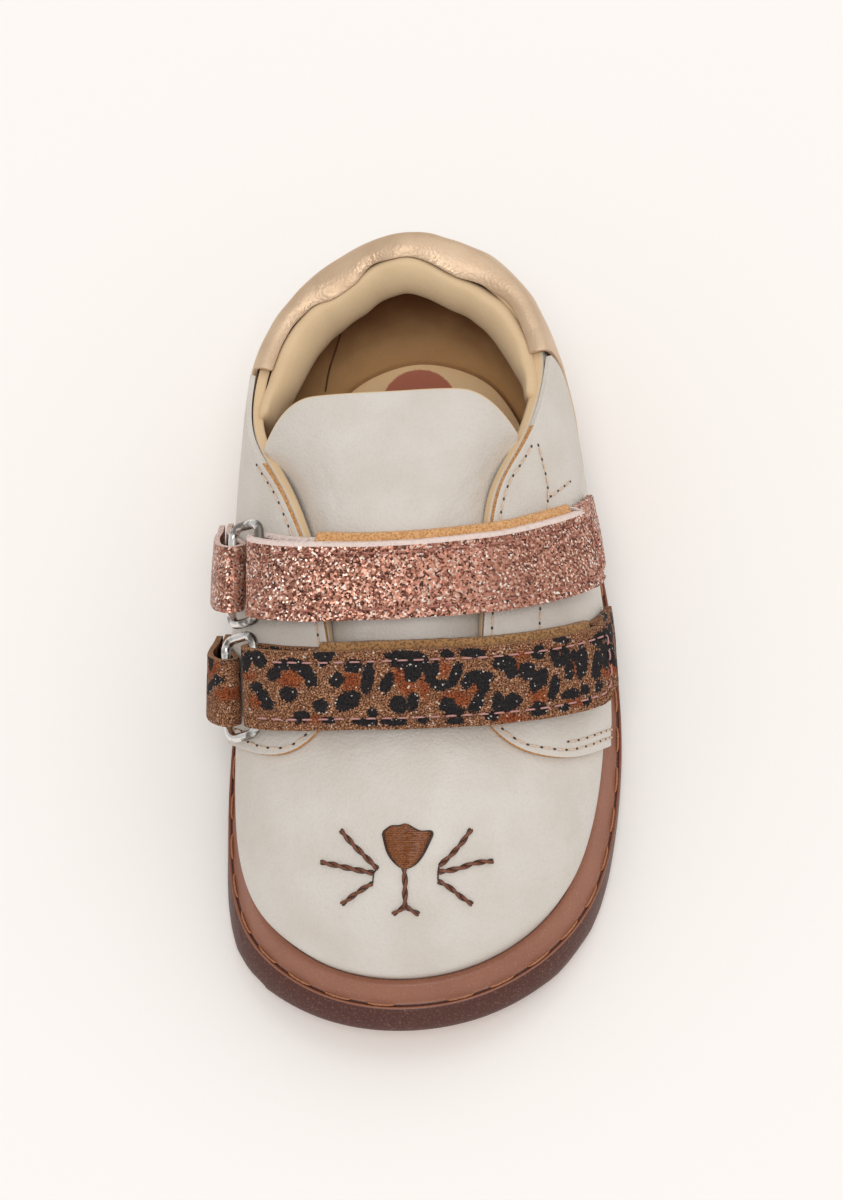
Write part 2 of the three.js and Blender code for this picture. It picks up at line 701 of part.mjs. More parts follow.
// Distance from the axis to the outline in a direction, angles from e2 towards e1.
function reach(hull, degrees) {
  const angle = THREE.MathUtils.degToRad(degrees);
  const ray = new THREE.Vector2(Math.sin(angle), Math.cos(angle));
  let best = 0;
  for (let k = 0; k < hull.length; k += 1) {
    const a = hull[k];
    const b = hull[(k + 1) % hull.length];
    const edge = b.clone().sub(a);
    const across = ray.x * edge.y - ray.y * edge.x;
    if (Math.abs(across) > 1e-9) {
      const distance = (a.x * edge.y - a.y * edge.x) / across;
      const share = (a.x * ray.y - a.y * ray.x) / across;
      if (distance > 0 && share >= -1e-6 && share <= 1 + 1e-6) {
        best = Math.max(best, distance);
      }
    }
  }
  return best;
}

function strapMiddle(strap) {
  const down = THREE.MathUtils.degToRad(INSTEP_SLOPE);
  const along = strap.pitch * STRAP_PITCH;
  return new THREE.Vector3(
    (strap.x * HALF_WIDTH) / 100,
    (FIRST_STRAP.y * LENGTH) / 100 - along * Math.cos(down),
    (FIRST_STRAP.z * TOP) / 100 - along * Math.sin(down),
  );
}

// Surface that a strap lies on: a stack of taut outlines across its width.
class StrapBed {
  constructor(strap, under, shift = 0, width = STRAP_WIDTH) {
    const turn = THREE.MathUtils.degToRad(strap.turn);
    const slope = THREE.MathUtils.degToRad(strap.slope);
    this.up = new THREE.Vector3(0, -Math.sin(slope), Math.cos(slope));
    const across = new THREE.Vector3(Math.cos(turn), Math.sin(turn), 0);
    this.width = across.cross(this.up).normalize();
    this.across = this.up.clone().cross(this.width);
    this.axis = strapMiddle(strap).addScaledVector(this.up, -STRAP_AXIS_DEPTH);
    this.stations = [-1, -0.6, 0, 0.6, 1].map((k) => (k * width) / 2 + shift);
    this.outlines = this.stations.map((w) => {
      const origin = this.axis.clone().addScaledVector(this.width, w);
      return hullOf(planeCut(under, origin, this.across, this.up));
    });
  }

  // Smoothed distance from the axis at an angle for the outline of one station.
  radius(station, degrees) {
    let sum = 0;
    for (let k = -2; k <= 2; k += 1) {
      sum += reach(this.outlines[station], degrees + 1.5 * k);
    }
    return sum / 5;
  }

  flat(station, degrees) {
    const angle = THREE.MathUtils.degToRad(degrees);
    const radius = this.radius(station, degrees);
    return new THREE.Vector2(radius * Math.sin(angle), radius * Math.cos(angle));
  }

  // Point at a height over the outline, in the plane of the station.
  over(station, degrees, height) {
    const tangent = this.flat(station, degrees + 1).sub(this.flat(station, degrees - 1));
    const normal = new THREE.Vector2(-tangent.y, tangent.x).normalize();
    return this.flat(station, degrees).addScaledVector(normal, height);
  }

  flatten(vector) {
    return new THREE.Vector2(vector.dot(this.across), vector.dot(this.up));
  }

  place(station, flat) {
    return this.axis
      .clone()
      .addScaledVector(this.width, this.stations[station])
      .addScaledVector(this.across, flat.x)
      .addScaledVector(this.up, flat.y);
  }
}

// Frame of a ring that lies flat over the bed: middle and direction of its near bar, and the
// direction to its far bar. Each bar is raised until the band under it fits at every station.
function ringFrame(bed, strap) {
  const height = STRAP_REST + BAND + WIRE_GAP + WIRE / 2;
  const last = bed.stations.length - 1;
  const at = (station, angle) => bed.place(station, bed.over(station, angle, height));
  const first = at(0, strap.ring - strap.ringLean / 2);
  const end = at(last, strap.ring + strap.ringLean / 2);
  const long = end.clone().sub(first).normalize();
  const beside = at(last / 2, strap.ring - 16).sub(at(last / 2, strap.ring));
  const short = beside.addScaledVector(long, -beside.dot(long)).normalize();
  const frame = { near: first.lerp(end, 0.5), long, short };
  const missing = (share) =>
    Math.max(
      ...barsInPlanes(bed, frame, share).map(
        (centre, k) => bed.over(k, angleOf(centre), height).length() - centre.length(),
      ),
    );
  const normal = short.clone().cross(long);
  frame.near.addScaledVector(normal, missing(0));
  const far = short.clone().multiplyScalar(RING_WIDTH - WIRE);
  frame.short = far.addScaledVector(normal, missing(1)).normalize();
  frame.normal = frame.short.clone().cross(long);
  return frame;
}

const angleOf = (flat) => THREE.MathUtils.radToDeg(Math.atan2(flat.x, flat.y));

// Middle of a ring's bar in the plane of each station.
function barsInPlanes(bed, frame, share) {
  const start = frame.near.clone().addScaledVector(frame.short, share * (RING_WIDTH - WIRE));
  return bed.stations.map((w) => {
    const missing = w - start.clone().sub(bed.axis).dot(bed.width);
    const slide = missing / frame.long.dot(bed.width);
    const place = start.clone().addScaledVector(frame.long, slide);
    return bed.flatten(place.sub(bed.axis));
  });
}

// Band folded round a bar: one leg under, one leg over, in the plane of a station.
// side: +1 when the legs run towards the outer side, -1 when they run away from it.
function foldedLoop(bed, station, bar, fold) {
  const inner = WIRE / 2 + WIRE_GAP;
  const barAt = angleOf(bar);
  const along = bed.flat(station, barAt - 4).sub(bed.flat(station, barAt + 4)).normalize();
  const outward = new THREE.Vector2(along.y, -along.x);
  const turnAt = barAt + 3 * fold.side;
  const barHeight = bar.length() - bed.radius(station, barAt);
  const start = barHeight + inner + 0.1 - STRAP_REST - BAND;
  const under = { near: [], far: [] };
  const over = { near: [], far: [] };
  for (let i = 0; i <= fold.steps; i += 1) {
    const share = i / fold.steps;
    const underAngle = mix(fold.underEnd, turnAt, share);
    under.far.push(bed.over(station, underAngle, STRAP_REST));
    under.near.push(bed.over(station, underAngle, STRAP_REST + BAND));
    const overAngle = mix(turnAt, fold.overEnd(station), share);
    const space = mix(start, fold.space, Math.min(1, share * fold.taper));
    const rise = STRAP_REST + BAND + space;
    over.near.push(bed.over(station, overAngle, rise));
    over.far.push(bed.over(station, overAngle, rise + BAND));
  }
  const arc = (radius) =>
    [-70, -35, 0, 35, 70].map((degrees) => {
      const angle = THREE.MathUtils.degToRad(degrees);
      return bar
        .clone()
        .addScaledVector(along, fold.side * radius * Math.cos(angle))
        .addScaledVector(outward, radius * Math.sin(angle));
    });
  return {
    near: [...under.near, ...arc(inner), ...over.near],
    far: [...under.far, ...arc(inner + BAND), ...over.far],
  };
}

function foldedBand(bed, bars, fold) {
  const loops = bars.map((bar, station) => foldedLoop(bed, station, bar, fold));
  const placed = (key) => loops.map((loop, k) => loop[key].map((p) => bed.place(k, p)));
  return thickSheet(placed('far'), placed('near'), false);
}

function buildStrap(bed, frame, strap) {
  const last = bed.stations.length - 1;
  const across = (station) => (2 * station) / last - 1;
  const corner = (station) => 3 * Math.abs(across(station)) ** 3 - (strap.freeLean / 2) * across(station);
  return foldedBand(bed, barsInPlanes(bed, frame, 0), {
    side: 1,
    steps: 18,
    underEnd: strap.anchor,
    overEnd: (station) => strap.free - corner(station),
    space: PAD + 2 * GAP,
    taper: 6,
  });
}

function buildRingTab(bed, frame, strap) {
  return foldedBand(bed, barsInPlanes(bed, frame, 1), {
    side: -1,
    steps: 5,
    underEnd: strap.ring - 42,
    overEnd: () => strap.ring - 40,
    space: GAP,
    taper: 1.6,
  });
}

// Hook and loop between the two layers of a strap.
function buildClosure(bed, strap) {
  const steps = 16;
  const low = STRAP_REST + BAND + GAP;
  const outer = [];
  const inner = [];
  for (let i = 0; i <= steps; i += 1) {
    const angle = mix(strap.ring + 16, strap.free - 5, i / steps);
    outer.push(bed.stations.map((_, k) => bed.place(k, bed.over(k, angle, low + PAD))));
    inner.push(bed.stations.map((_, k) => bed.place(k, bed.over(k, angle, low + 0.02))));
  }
  return thickSheet(outer, inner, false);
}

// Flat oval of round wire with two straight bars.
function buildRing(frame, strap) {
  const centre = frame.near
    .clone()
    .addScaledVector(frame.short, (RING_WIDTH - WIRE) / 2)
    .addScaledVector(frame.long, -strap.ringShift);
  const halfLong = (RING_LENGTH - WIRE) / 2;
  const halfShort = (RING_WIDTH - WIRE) / 2;
  const sections = [];
  for (const [sx, sy, from] of [[1, 1, 0], [-1, 1, 90], [-1, -1, 180], [1, -1, 270]]) {
    for (let k = 0; k <= 4; k += 1) {
      const angle = THREE.MathUtils.degToRad(from + (90 * k) / 4);
      const away = frame.long
        .clone()
        .multiplyScalar(Math.cos(angle))
        .addScaledVector(frame.short, Math.sin(angle));
      const middle = centre
        .clone()
        .addScaledVector(frame.long, sx * (halfLong - RING_CORNER))
        .addScaledVector(frame.short, sy * (halfShort - RING_CORNER))
        .addScaledVector(away, RING_CORNER);
      sections.push(wireSection(middle, away, frame.normal));
    }
  }
  return closedTube(sections);
}

function wireSection(middle, away, normal) {
  return Array.from({ length: 8 }, (_, k) => {
    const angle = (2 * Math.PI * k) / 8;
    return middle
      .clone()
      .addScaledVector(away, (WIRE / 2) * Math.cos(angle))
      .addScaledVector(normal, (WIRE / 2) * Math.sin(angle));
  });
}

const shoe = new THREE.Group();
shoe.name = 'sneaker';

function add(name, geometry, look) {
  const mesh = new THREE.Mesh(geometry, look);
  mesh.name = name;
  shoe.add(mesh);
  return geometry;
}

add('outsole', buildOutsole(), brownRubber);
add('insole', buildInsole(), insoleFabric);
const upper = add('upper', buildUpper(), creamLeather);
const lateral = add('quarter_lateral', buildPanel(QUARTER_LATERAL, 14, 9), creamLeather);
const medial = add('quarter_medial', buildPanel(QUARTER_MEDIAL, 14, 9), creamLeather);
const counter = add('heel_counter', buildHeelCounter(), goldLeather);
add('collar_padding', buildCollarPadding(), beigeLining);
const tongue = add('tongue', buildTongue(), creamLeather);

const bedding = [upper, lateral, medial, counter, tongue];
for (const [side, strap] of Object.entries(STRAPS)) {
  const look = side === 'upper' ? roseGlitter : leopardGlitter;
  const bed = new StrapBed(strap, bedding);
  const frame = ringFrame(bed, strap);
  add(`strap_${side}`, buildStrap(bed, frame, strap), look);
  add(`closure_${side}`, buildClosure(new StrapBed(strap, bedding, -PAD_SHIFT), strap), hookAndLoop);
  add(`ring_${side}`, buildRing(frame, strap), nickel);
  const slide = frame.short.dot(bed.width) * (RING_WIDTH - WIRE);
  const tabBed = new StrapBed(strap, bedding, slide - strap.ringShift, TAB_WIDTH);
  add(`ring_tab_${side}`, buildRingTab(tabBed, frame, strap), look);
}

// The origin is the middle of the floor under the shoe.
const bounds = new THREE.Box3().setFromObject(shoe);
const middle = bounds.getCenter(new THREE.Vector3());
shoe.position.set(-middle.x, -middle.y, -bounds.min.z);

export default shoe;
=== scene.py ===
"""Looks of a toddler's left sneaker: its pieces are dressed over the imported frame, in metres."""

import json
import logging
import math
import random
from collections.abc import Callable, Iterator, Sequence
from contextlib import contextmanager
from dataclasses import dataclass, field
from enum import Enum

import bpy
from bpy.types import Material, Node, NodeSocket, Object
from mathutils import Matrix, Vector, noise
from mathutils.bvhtree import BVHTree
from mathutils.kdtree import KDTree

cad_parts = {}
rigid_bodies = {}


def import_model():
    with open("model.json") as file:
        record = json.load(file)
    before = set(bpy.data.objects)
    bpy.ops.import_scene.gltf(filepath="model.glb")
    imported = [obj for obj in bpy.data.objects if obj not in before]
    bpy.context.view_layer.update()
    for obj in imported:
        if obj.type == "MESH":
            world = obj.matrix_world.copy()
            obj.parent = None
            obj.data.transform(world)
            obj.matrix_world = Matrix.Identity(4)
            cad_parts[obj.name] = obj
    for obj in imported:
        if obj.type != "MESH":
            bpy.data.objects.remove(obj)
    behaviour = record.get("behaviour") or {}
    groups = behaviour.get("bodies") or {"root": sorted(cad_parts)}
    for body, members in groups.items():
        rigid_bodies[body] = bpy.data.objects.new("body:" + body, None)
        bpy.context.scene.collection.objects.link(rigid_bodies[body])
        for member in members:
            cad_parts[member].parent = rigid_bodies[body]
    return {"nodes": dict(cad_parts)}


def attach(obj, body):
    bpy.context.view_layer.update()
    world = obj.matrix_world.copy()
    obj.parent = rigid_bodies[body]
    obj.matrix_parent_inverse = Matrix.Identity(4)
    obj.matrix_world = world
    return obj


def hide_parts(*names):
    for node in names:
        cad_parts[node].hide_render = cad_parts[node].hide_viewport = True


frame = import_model()

MM = 0.001
log = logging.getLogger("sneaker")

Color = tuple[float, float, float, float]
Pixel = tuple[float, float]
Stops = Sequence[tuple[float, Color]]
# Points of an edge, and the surface's normals there.
Edge = tuple[list[Vector], list[Vector]]


def srgb(red: int, green: int, blue: int) -> Color:
    """Turns a screen colour into the linear colour that shaders take.

    Args:
        red, green, blue: Channels from 0 to 255.

    Returns:
        The linear colour with full alpha.
    """

    def linear(channel: int) -> float:
        """Linear value of one channel."""
        share = channel / 255
        return share / 12.92 if share <= 0.04045 else ((share + 0.055) / 1.055) ** 2.4

    return (linear(red), linear(green), linear(blue), 1.0)


# Shader arithmetic.


class Value:
    """A socket that takes part in arithmetic: each operation adds a Math node."""

    def __init__(self, graph: "Graph", socket: NodeSocket) -> None:
        """Keeps the socket and the node tree that it belongs to."""
        self.graph = graph
        self.socket = socket

    def math(self, operation: str, *operands: "Value | float") -> "Value":
        """Adds a Math node.

        Args:
            operation: The node's operation.
            operands: Its inputs, in order.

        Returns:
            The node's result.
        """
        settings = {"operation": operation}
        return self.graph.value("ShaderNodeMath", settings, dict(enumerate(operands)))

    def __add__(self, other: "Value | float") -> "Value":
        """This value plus another."""
        return self.math("ADD", self, other)

    def __radd__(self, other: float) -> "Value":
        """A number plus this value."""
        return self.math("ADD", other, self)

    def __sub__(self, other: "Value | float") -> "Value":
        """This value less another."""
        return self.math("SUBTRACT", self, other)

    def __rsub__(self, other: float) -> "Value":
        """A number less this value."""
        return self.math("SUBTRACT", other, self)

    def __mul__(self, other: "Value | float") -> "Value":
        """This value times another."""
        return self.math("MULTIPLY", self, other)

    def __rmul__(self, other: float) -> "Value":
        """A number times this value."""
        return self.math("MULTIPLY", other, self)

    def step(self, low: float, high: float) -> "Value":
        """Smooth step from 0 to 1.

        Args:
            low: Value at which it starts, which may be the greater one.
            high: Value at which it is done.

        Returns:
            The step.
        """
        settings = {"interpolation_type": "SMOOTHSTEP", "clamp": True}
        places = {"Value": self, "From Min": low, "From Max": high}
        return self.graph.value("ShaderNodeMapRange", settings, places)


class Graph:
    """The node tree of one finish."""

    def __init__(self, name: str) -> None:
        """Starts a material with an empty tree, its shader and its output.

        Args:
            name: The material's name.
        """
        self.material: Material = bpy.data.materials.new(name)
        self.material.use_nodes = True
        self.tree = self.material.node_tree
        self.tree.nodes.clear()
        self.shader = self.node("ShaderNodeBsdfPrincipled")
        self.node("ShaderNodeOutputMaterial", {}, {"Surface": Value(self, self.shader.outputs[0])})
        self.place = self.value("ShaderNodeTexCoord", output="Object")

    def node(
        self,
        kind: str,
        settings: dict[str, object] | None = None,
        inputs: dict[str | int, object] | None = None,
    ) -> Node:
        """Adds a node of any type.

        Args:
            kind: The node's type.
            settings: Its properties, with a ramp's stops under "stops".
            inputs: Values or links of its sockets, by name or number.

        Returns:
            The node.
        """
        node = self.tree.nodes.new(kind)
        for key, setting in (settings or {}).items():
            if key == "stops":
                self._set_stops(node, setting)
            else:
                setattr(node, key, setting)
        for key, given in (inputs or {}).items():
            if isinstance(given, Value):
                self.tree.links.new(given.socket, node.inputs[key])
            else:
                node.inputs[key].default_value = given
        return node

    @staticmethod
    def _set_stops(node: Node, stops: Stops) -> None:
        """Sets the stops of a colour ramp.

        Args:
            node: The ramp.
            stops: Position and colour of each stop.
        """
        elements = node.color_ramp.elements
        while len(elements) < len(stops):
            elements.new(1.0)
        for element, (position, color) in zip(elements, stops):
            element.position = position
            element.color = color

    def value(
        self,
        kind: str,
        settings: dict[str, object] | None = None,
        inputs: dict[str | int, object] | None = None,
        output: str | int = 0,
    ) -> Value:
        """Adds a node and takes one of its outputs.

        Args:
            kind, settings, inputs: As for node.
            output: The output's name or number.

        Returns:
            The output as a value.
        """
        return Value(self, self.node(kind, settings, inputs).outputs[output])

    def noise(self, size: float, detail: float = 3.0, stretch: Vector | None = None) -> Value:
        """Soft noise from 0 to 1.

        Args:
            size: Width of a patch, in metres.
            detail: Octaves.
            stretch: Scale of each axis before the noise is read.

        Returns:
            The noise.
        """
        place = self.place
        if stretch is not None:
            place = self.vectors("MULTIPLY", place, stretch)
        inputs = {"Vector": place, "Scale": 1 / size, "Detail": detail}
        return self.value("ShaderNodeTexNoise", {}, inputs, "Fac")

    def cells(self, size: float, output: str) -> Value:
        """Cells of one size: their distance or their random colour.

        Args:
            size: Width of a cell, in metres.
            output: "Distance" or "Color".

        Returns:
            The chosen output.
        """
        inputs = {"Vector": self.place, "Scale": 1 / size}
        return self.value("ShaderNodeTexVoronoi", {}, inputs, output)

    def channel(self, color: Value, index: int) -> Value:
        """One channel of a colour."""
        return self.value("ShaderNodeSeparateColor", {}, {0: color}, index)

    def mix(self, share: "Value | float", low: "Value | Color", high: "Value | Color") -> Value:
        """Colour between two colours at a share from 0 to 1."""
        settings = {"data_type": "RGBA"}
        return self.value("ShaderNodeMix", settings, {0: share, 6: low, 7: high}, 2)

    def ramp(self, value: Value, stops: Stops) -> Value:
        """Colour of a value on a ramp.

        Args:
            value: Place on the ramp, from 0 to 1.
            stops: Position and colour of each stop.

        Returns:
            The colour.
        """
        return self.value("ShaderNodeValToRGB", {"stops": stops}, {"Fac": value}, "Color")

    def stored(self, name: str) -> Value:
        """Number that a piece's mesh holds at each vertex."""
        return self.value("ShaderNodeAttribute", {"attribute_name": name}, output="Fac")

    def vectors(self, operation: str, *operands: object) -> Value:
        """Adds a Vector Math node.

        Args:
            operation: The node's operation.
            operands: Its inputs, in order.

        Returns:
            The resulting vector.
        """
        return self.value("ShaderNodeVectorMath", {"operation": operation}, dict(enumerate(operands)))

    def bump(self, height: Value, depth: float, under: Value | None = None) -> Value:
        """Normal of a surface with relief.

        Args:
            height: Relief from 0 to 1.
            depth: Real height of the relief, in metres.
            under: Normal of a relief below this one.

        Returns:
            The normal.
        """
        inputs: dict[str | int, object] = {"Height": height, "Distance": depth, "Strength": 1.0}
        if under is not None:
            inputs["Normal"] = under
        return self.value("ShaderNodeBump", {}, inputs)

    def dress(self, **inputs: object) -> Material:
        """Sets the shader's sockets.

        Args:
            inputs: Values or links of the sockets, named with underscores.

        Returns:
            The material.
        """
        for key, given in inputs.items():
            socket = self.shader.inputs[key.replace("_", " ")]
            if isinstance(given, Value):
                self.tree.links.new(given.socket, socket)
            else:
                socket.default_value = given
        return self.material


# Finishes.


@dataclass(frozen=True)
class SmoothLeather:
    """Leather with a fine pebbled grain and slight clouding."""

    name: str = "cream_leather"
    light: Color = srgb(214, 208, 200)
    dark: Color = srgb(207, 199, 190)
    grain: float = 0.55 * MM
    relief: float = 0.1 * MM
    roughness: float = 0.5

    def material(self) -> Material:
        """Makes the material.

        Returns:
            The material.
        """
        graph = Graph(self.name)
        clouds = graph.noise(9 * MM, 3)
        pores = graph.cells(self.grain, "Distance")
        fibres = graph.noise(0.28 * MM, 4)
        wrinkles = graph.noise(2.4 * MM, 6, Vector((1.0, 1.3, 1.2)))
        base = graph.mix(clouds.step(0.3, 0.7), self.dark, self.light)
        color = graph.mix(pores.step(0.45, 0.95) * 0.14, base, srgb(188, 178, 166))
        under = graph.bump(wrinkles, 0.12 * MM)
        relief = (1 - pores) * 0.7 + fibres * 0.3
        return graph.dress(
            Base_Color=color,
            Roughness=self.roughness + fibres * 0.12 - 0.06,
            Specular_IOR_Level=0.38,
            Normal=graph.bump(relief, self.relief, under),
        )


@dataclass(frozen=True)
class GoldLeather:
    """Satin metallic leather with crinkles that catch the light."""

    name: str = "gold_leather"
    light: Color = srgb(216, 189, 160)
    dark: Color = srgb(203, 174, 144)

    def material(self) -> Material:
        """Makes the material.

        Returns:
            The material.
        """
        graph = Graph(self.name)
        clouds = graph.noise(7 * MM, 4)
        grain = graph.cells(0.5 * MM, "Distance")
        crinkle = graph.noise(1.1 * MM, 6, Vector((1.6, 1.6, 0.8)))
        where = graph.noise(12 * MM, 2).step(0.5, 0.64)
        relief = grain * 0.35 + crinkle * (0.35 + where * 1.6)
        return graph.dress(
            Base_Color=graph.mix(clouds.step(0.25, 0.75), self.dark, self.light),
            Metallic=0.5,
            Roughness=0.46 - where * 0.22 + grain * 0.08,
            Normal=graph.bump(relief, 0.14 * MM),
        )


@dataclass(frozen=True)
class SoftLining:
    """Matte lining leather with a short nap."""

    name: str = "beige_lining"
    light: Color = srgb(228, 202, 164)
    dark: Color = srgb(208, 178, 138)
    nap: float = 0.35 * MM

    def material(self) -> Material:
        """Makes the material.

        Returns:
            The material.
        """
        graph = Graph(self.name)
        clouds = graph.noise(6 * MM, 4)
        nap = graph.noise(self.nap, 5)
        return graph.dress(
            Base_Color=graph.mix(clouds * 0.6 + nap * 0.4, self.dark, self.light),
            Roughness=0.82,
            Sheen_Weight=0.12,
            Sheen_Roughness=0.5,
            Normal=graph.bump(nap, 0.05 * MM),
        )


@dataclass(frozen=True)
class InnerLining:
    """Matte lining of the shell, with painted light and shade: darker higher up, under the collar roll,
    and paler towards the footbed.
    """

    name: str = "inner_lining"
    low: Color = srgb(232, 194, 142)
    high: Color = srgb(124, 82, 46)
    bottom: float = 10 * MM
    top: float = 27 * MM

    def material(self) -> Material:
        """Makes the material.

        Returns:
            The material.
        """
        graph = Graph(self.name)
        nap = graph.noise(0.35 * MM, 5)
        clouds = graph.noise(6 * MM, 4)
        height = graph.channel(graph.place, 2) + clouds * (6 * MM) - 3 * MM
        # Painted shade and light: the lining darkens towards the top and pales towards the footbed.
        tone_by_height = graph.mix(height.step(self.bottom, self.top), self.low, self.high)
        return graph.dress(
            Base_Color=graph.mix(nap * 0.25, tone_by_height, srgb(120, 82, 50)),
            Roughness=0.82,
            Normal=graph.bump(nap, 0.05 * MM),
        )


@dataclass(frozen=True)
class Footbed:
    """Lining leather of the insole, with a plain round disc printed at the heel."""

    name: str = "footbed_leather"
    light: Color = srgb(255, 228, 184)
    dark: Color = srgb(244, 210, 162)
    disc: Color = srgb(192, 120, 98)
    centre: tuple[float, float] = (1.0 * MM, 55.0 * MM)
    radius: float = 7.2 * MM

    def material(self) -> Material:
        """Makes the material.

        Returns:
            The material.
        """
        graph = Graph(self.name)
        nap = graph.noise(0.4 * MM, 5)
        clouds = graph.noise(8 * MM, 3)
        leather = graph.mix(clouds * 0.5 + nap * 0.5, self.dark, self.light)
        flat = graph.value(
            "ShaderNodeMapping",
            {"vector_type": "TEXTURE"},
            {"Vector": graph.place, "Location": (*self.centre, 0.0), "Scale": (1.0, 1.0, 1e6)},
        )
        away = graph.value("ShaderNodeVectorMath", {"operation": "LENGTH"}, {0: flat}, "Value")
        mask = (away + nap * (0.5 * MM)).step(self.radius + 0.4 * MM, self.radius)
        return graph.dress(
            Base_Color=graph.mix(mask, leather, self.disc),
            Roughness=0.85,
            Sheen_Weight=0.1,
            Normal=graph.bump(nap, 0.06 * MM),
        )


@dataclass(frozen=True)
class RawEdge:
    """Cut edge of leather or of a strap: loose fibres in a plain colour."""

    name: str = "raw_edge"
    light: Color = srgb(216, 166, 110)
    dark: Color = srgb(166, 112, 68)

    def material(self) -> Material:
        """Makes the material.

        Returns:
            The material.
        """
        graph = Graph(self.name)
        fibres = graph.noise(0.3 * MM, 5)
        return graph.dress(
            Base_Color=graph.mix(fibres.step(0.35, 0.65), self.dark, self.light),
            Roughness=0.9,
            Normal=graph.bump(fibres, 0.12 * MM),
        )


@dataclass(frozen=True)
class SoleRubber:
    """Moulded rubber: a lighter band over the ridge, the wall below it painted darker as shade, and a
    paler lower edge.
    """

    ridge: float
    foot: float
    name: str = "sole_rubber"
    band: Color = srgb(152, 100, 79)
    # Colour of the wall below the ridge, darkened as painted shade.
    shaded_wall: Color = srgb(76, 36, 27)
    # Paler colour along the lower edge.
    tone_by_height: Color = srgb(176, 128, 106)

    def material(self) -> Material:
        """Makes the material, which reads the height above the floor line.

        Returns:
            The material.
        """
        graph = Graph(self.name)
        height = graph.stored("height")
        clouds = graph.noise(11 * MM, 4)
        speckle = graph.noise(0.35 * MM, 3)
        scuffs = graph.noise(2.4 * MM, 6, Vector((0.4, 0.4, 2.0))).step(0.58, 0.72)
        ragged_height = height + clouds * (0.5 * MM) + speckle * (0.3 * MM) - 0.4 * MM
        # Painted shade on the wall below the ridge; a paler line along the lowest edge.
        low = graph.mix(ragged_height.step(self.foot - 0.3 * MM, self.foot), self.tone_by_height, self.shaded_wall)
        base = graph.mix(height.step(self.ridge - 0.05 * MM, self.ridge), low, self.band)
        shaded = graph.mix(clouds.step(0.3, 0.7) * 0.16, base, srgb(78, 42, 32))
        flecked = graph.mix(speckle.step(0.5, 0.75) * 0.14, shaded, srgb(214, 176, 156))
        return graph.dress(
            Base_Color=flecked,
            Roughness=0.46 + scuffs * 0.14,
            Specular_IOR_Level=0.45,
            Normal=graph.bump(speckle * 0.6 + scuffs * 0.4, 0.035 * MM),
        )


@dataclass(frozen=True)
class Glitter:
    """Coarse rose glitter: each flake has its own tilt, and its own brightness painted into its colour,
    partly the glitter's rose tones and partly painted reflection.
    """

    name: str = "rose_glitter"
    flake: float = 0.34 * MM
    tilt: float = 0.8

    def material(self) -> Material:
        """Makes the material.

        Returns:
            The material.
        """
        graph = Graph(self.name)
        random_color = graph.cells(self.flake, "Color")
        chance = graph.channel(random_color, 0)
        bed = graph.noise(5 * MM, 3) * 0.16 - 0.08
        # Flake colours: rose tones of the glitter, with painted reflection at both ends: dark flakes as
        # painted shade, near-white flakes as painted highlights.
        color = graph.ramp(
            chance + bed,
            [
                (0.0, srgb(60, 32, 26)),
                (0.22, srgb(122, 74, 58)),
                (0.5, srgb(170, 112, 92)),
                (0.8, srgb(206, 150, 128)),
                (0.93, srgb(236, 204, 186)),
                (1.0, srgb(255, 246, 238)),
            ],
        )
        edge = graph.stored("from_edge")
        cut = (edge + bed * (1 * MM)).step(0.72 * MM, 0.6 * MM)
        color = graph.mix(cut, color, srgb(232, 212, 204))
        flat = graph.value("ShaderNodeNewGeometry", output="Normal")
        centred = graph.vectors("SUBTRACT", random_color, (0.5, 0.5, 0.5))
        tilted = graph.vectors("MULTIPLY_ADD", centred, (self.tilt, self.tilt, self.tilt), flat)
        return graph.dress(
            Base_Color=color,
            Metallic=0.55 - cut * 0.55,
            Roughness=0.3 + graph.channel(random_color, 1) * 0.2 + cut * 0.4,
            Normal=graph.vectors("NORMALIZE", tilted),
        )


@dataclass(frozen=True)
class LeopardSuede:
    """Brushed suede with charted dark spots, rust centres and scattered glitter."""

    name: str = "leopard_suede"
    spots: str = "dark_spots"
    centres: str = "rust_centres"

    def material(self) -> Material:
        """Makes the material.

        Returns:
            The material.
        """
        graph = Graph(self.name)
        fibres = graph.noise(0.26 * MM, 6)
        ragged = graph.noise(0.7 * MM, 4) * (1.3 * MM) - 0.65 * MM
        dark = graph.stored(self.spots)
        rust = graph.stored(self.centres)
        black = (dark + ragged + fibres * (0.9 * MM) - 0.45 * MM).step(0.26 * MM, -0.06 * MM)
        warm = (rust + ragged).step(0.9 * MM, -0.7 * MM) * 0.9
        tan = graph.ramp(
            fibres,
            [(0.35, srgb(44, 24, 16)), (0.52, srgb(122, 80, 56)), (0.66, srgb(196, 148, 112))],
        )
        red = graph.ramp(fibres, [(0.34, srgb(58, 22, 12)), (0.64, srgb(158, 80, 42))])
        ink = graph.ramp(fibres, [(0.36, srgb(14, 13, 15)), (0.68, srgb(50, 45, 46))])
        cloth = graph.mix(black, graph.mix(warm, tan, red), ink)
        # Scattered glitter flakes, painted pale as painted sparkle.
        flakes = graph.cells(0.26 * MM, "Color")
        glint = graph.channel(flakes, 0).step(0.982, 0.99)
        return graph.dress(
            Base_Color=graph.mix(glint * 0.5, cloth, srgb(240, 230, 220)),
            Metallic=glint * 0.4,
            Roughness=0.9 - glint * 0.5,
            Specular_IOR_Level=0.2,
            Normal=graph.bump(fibres, 0.1 * MM),
        )


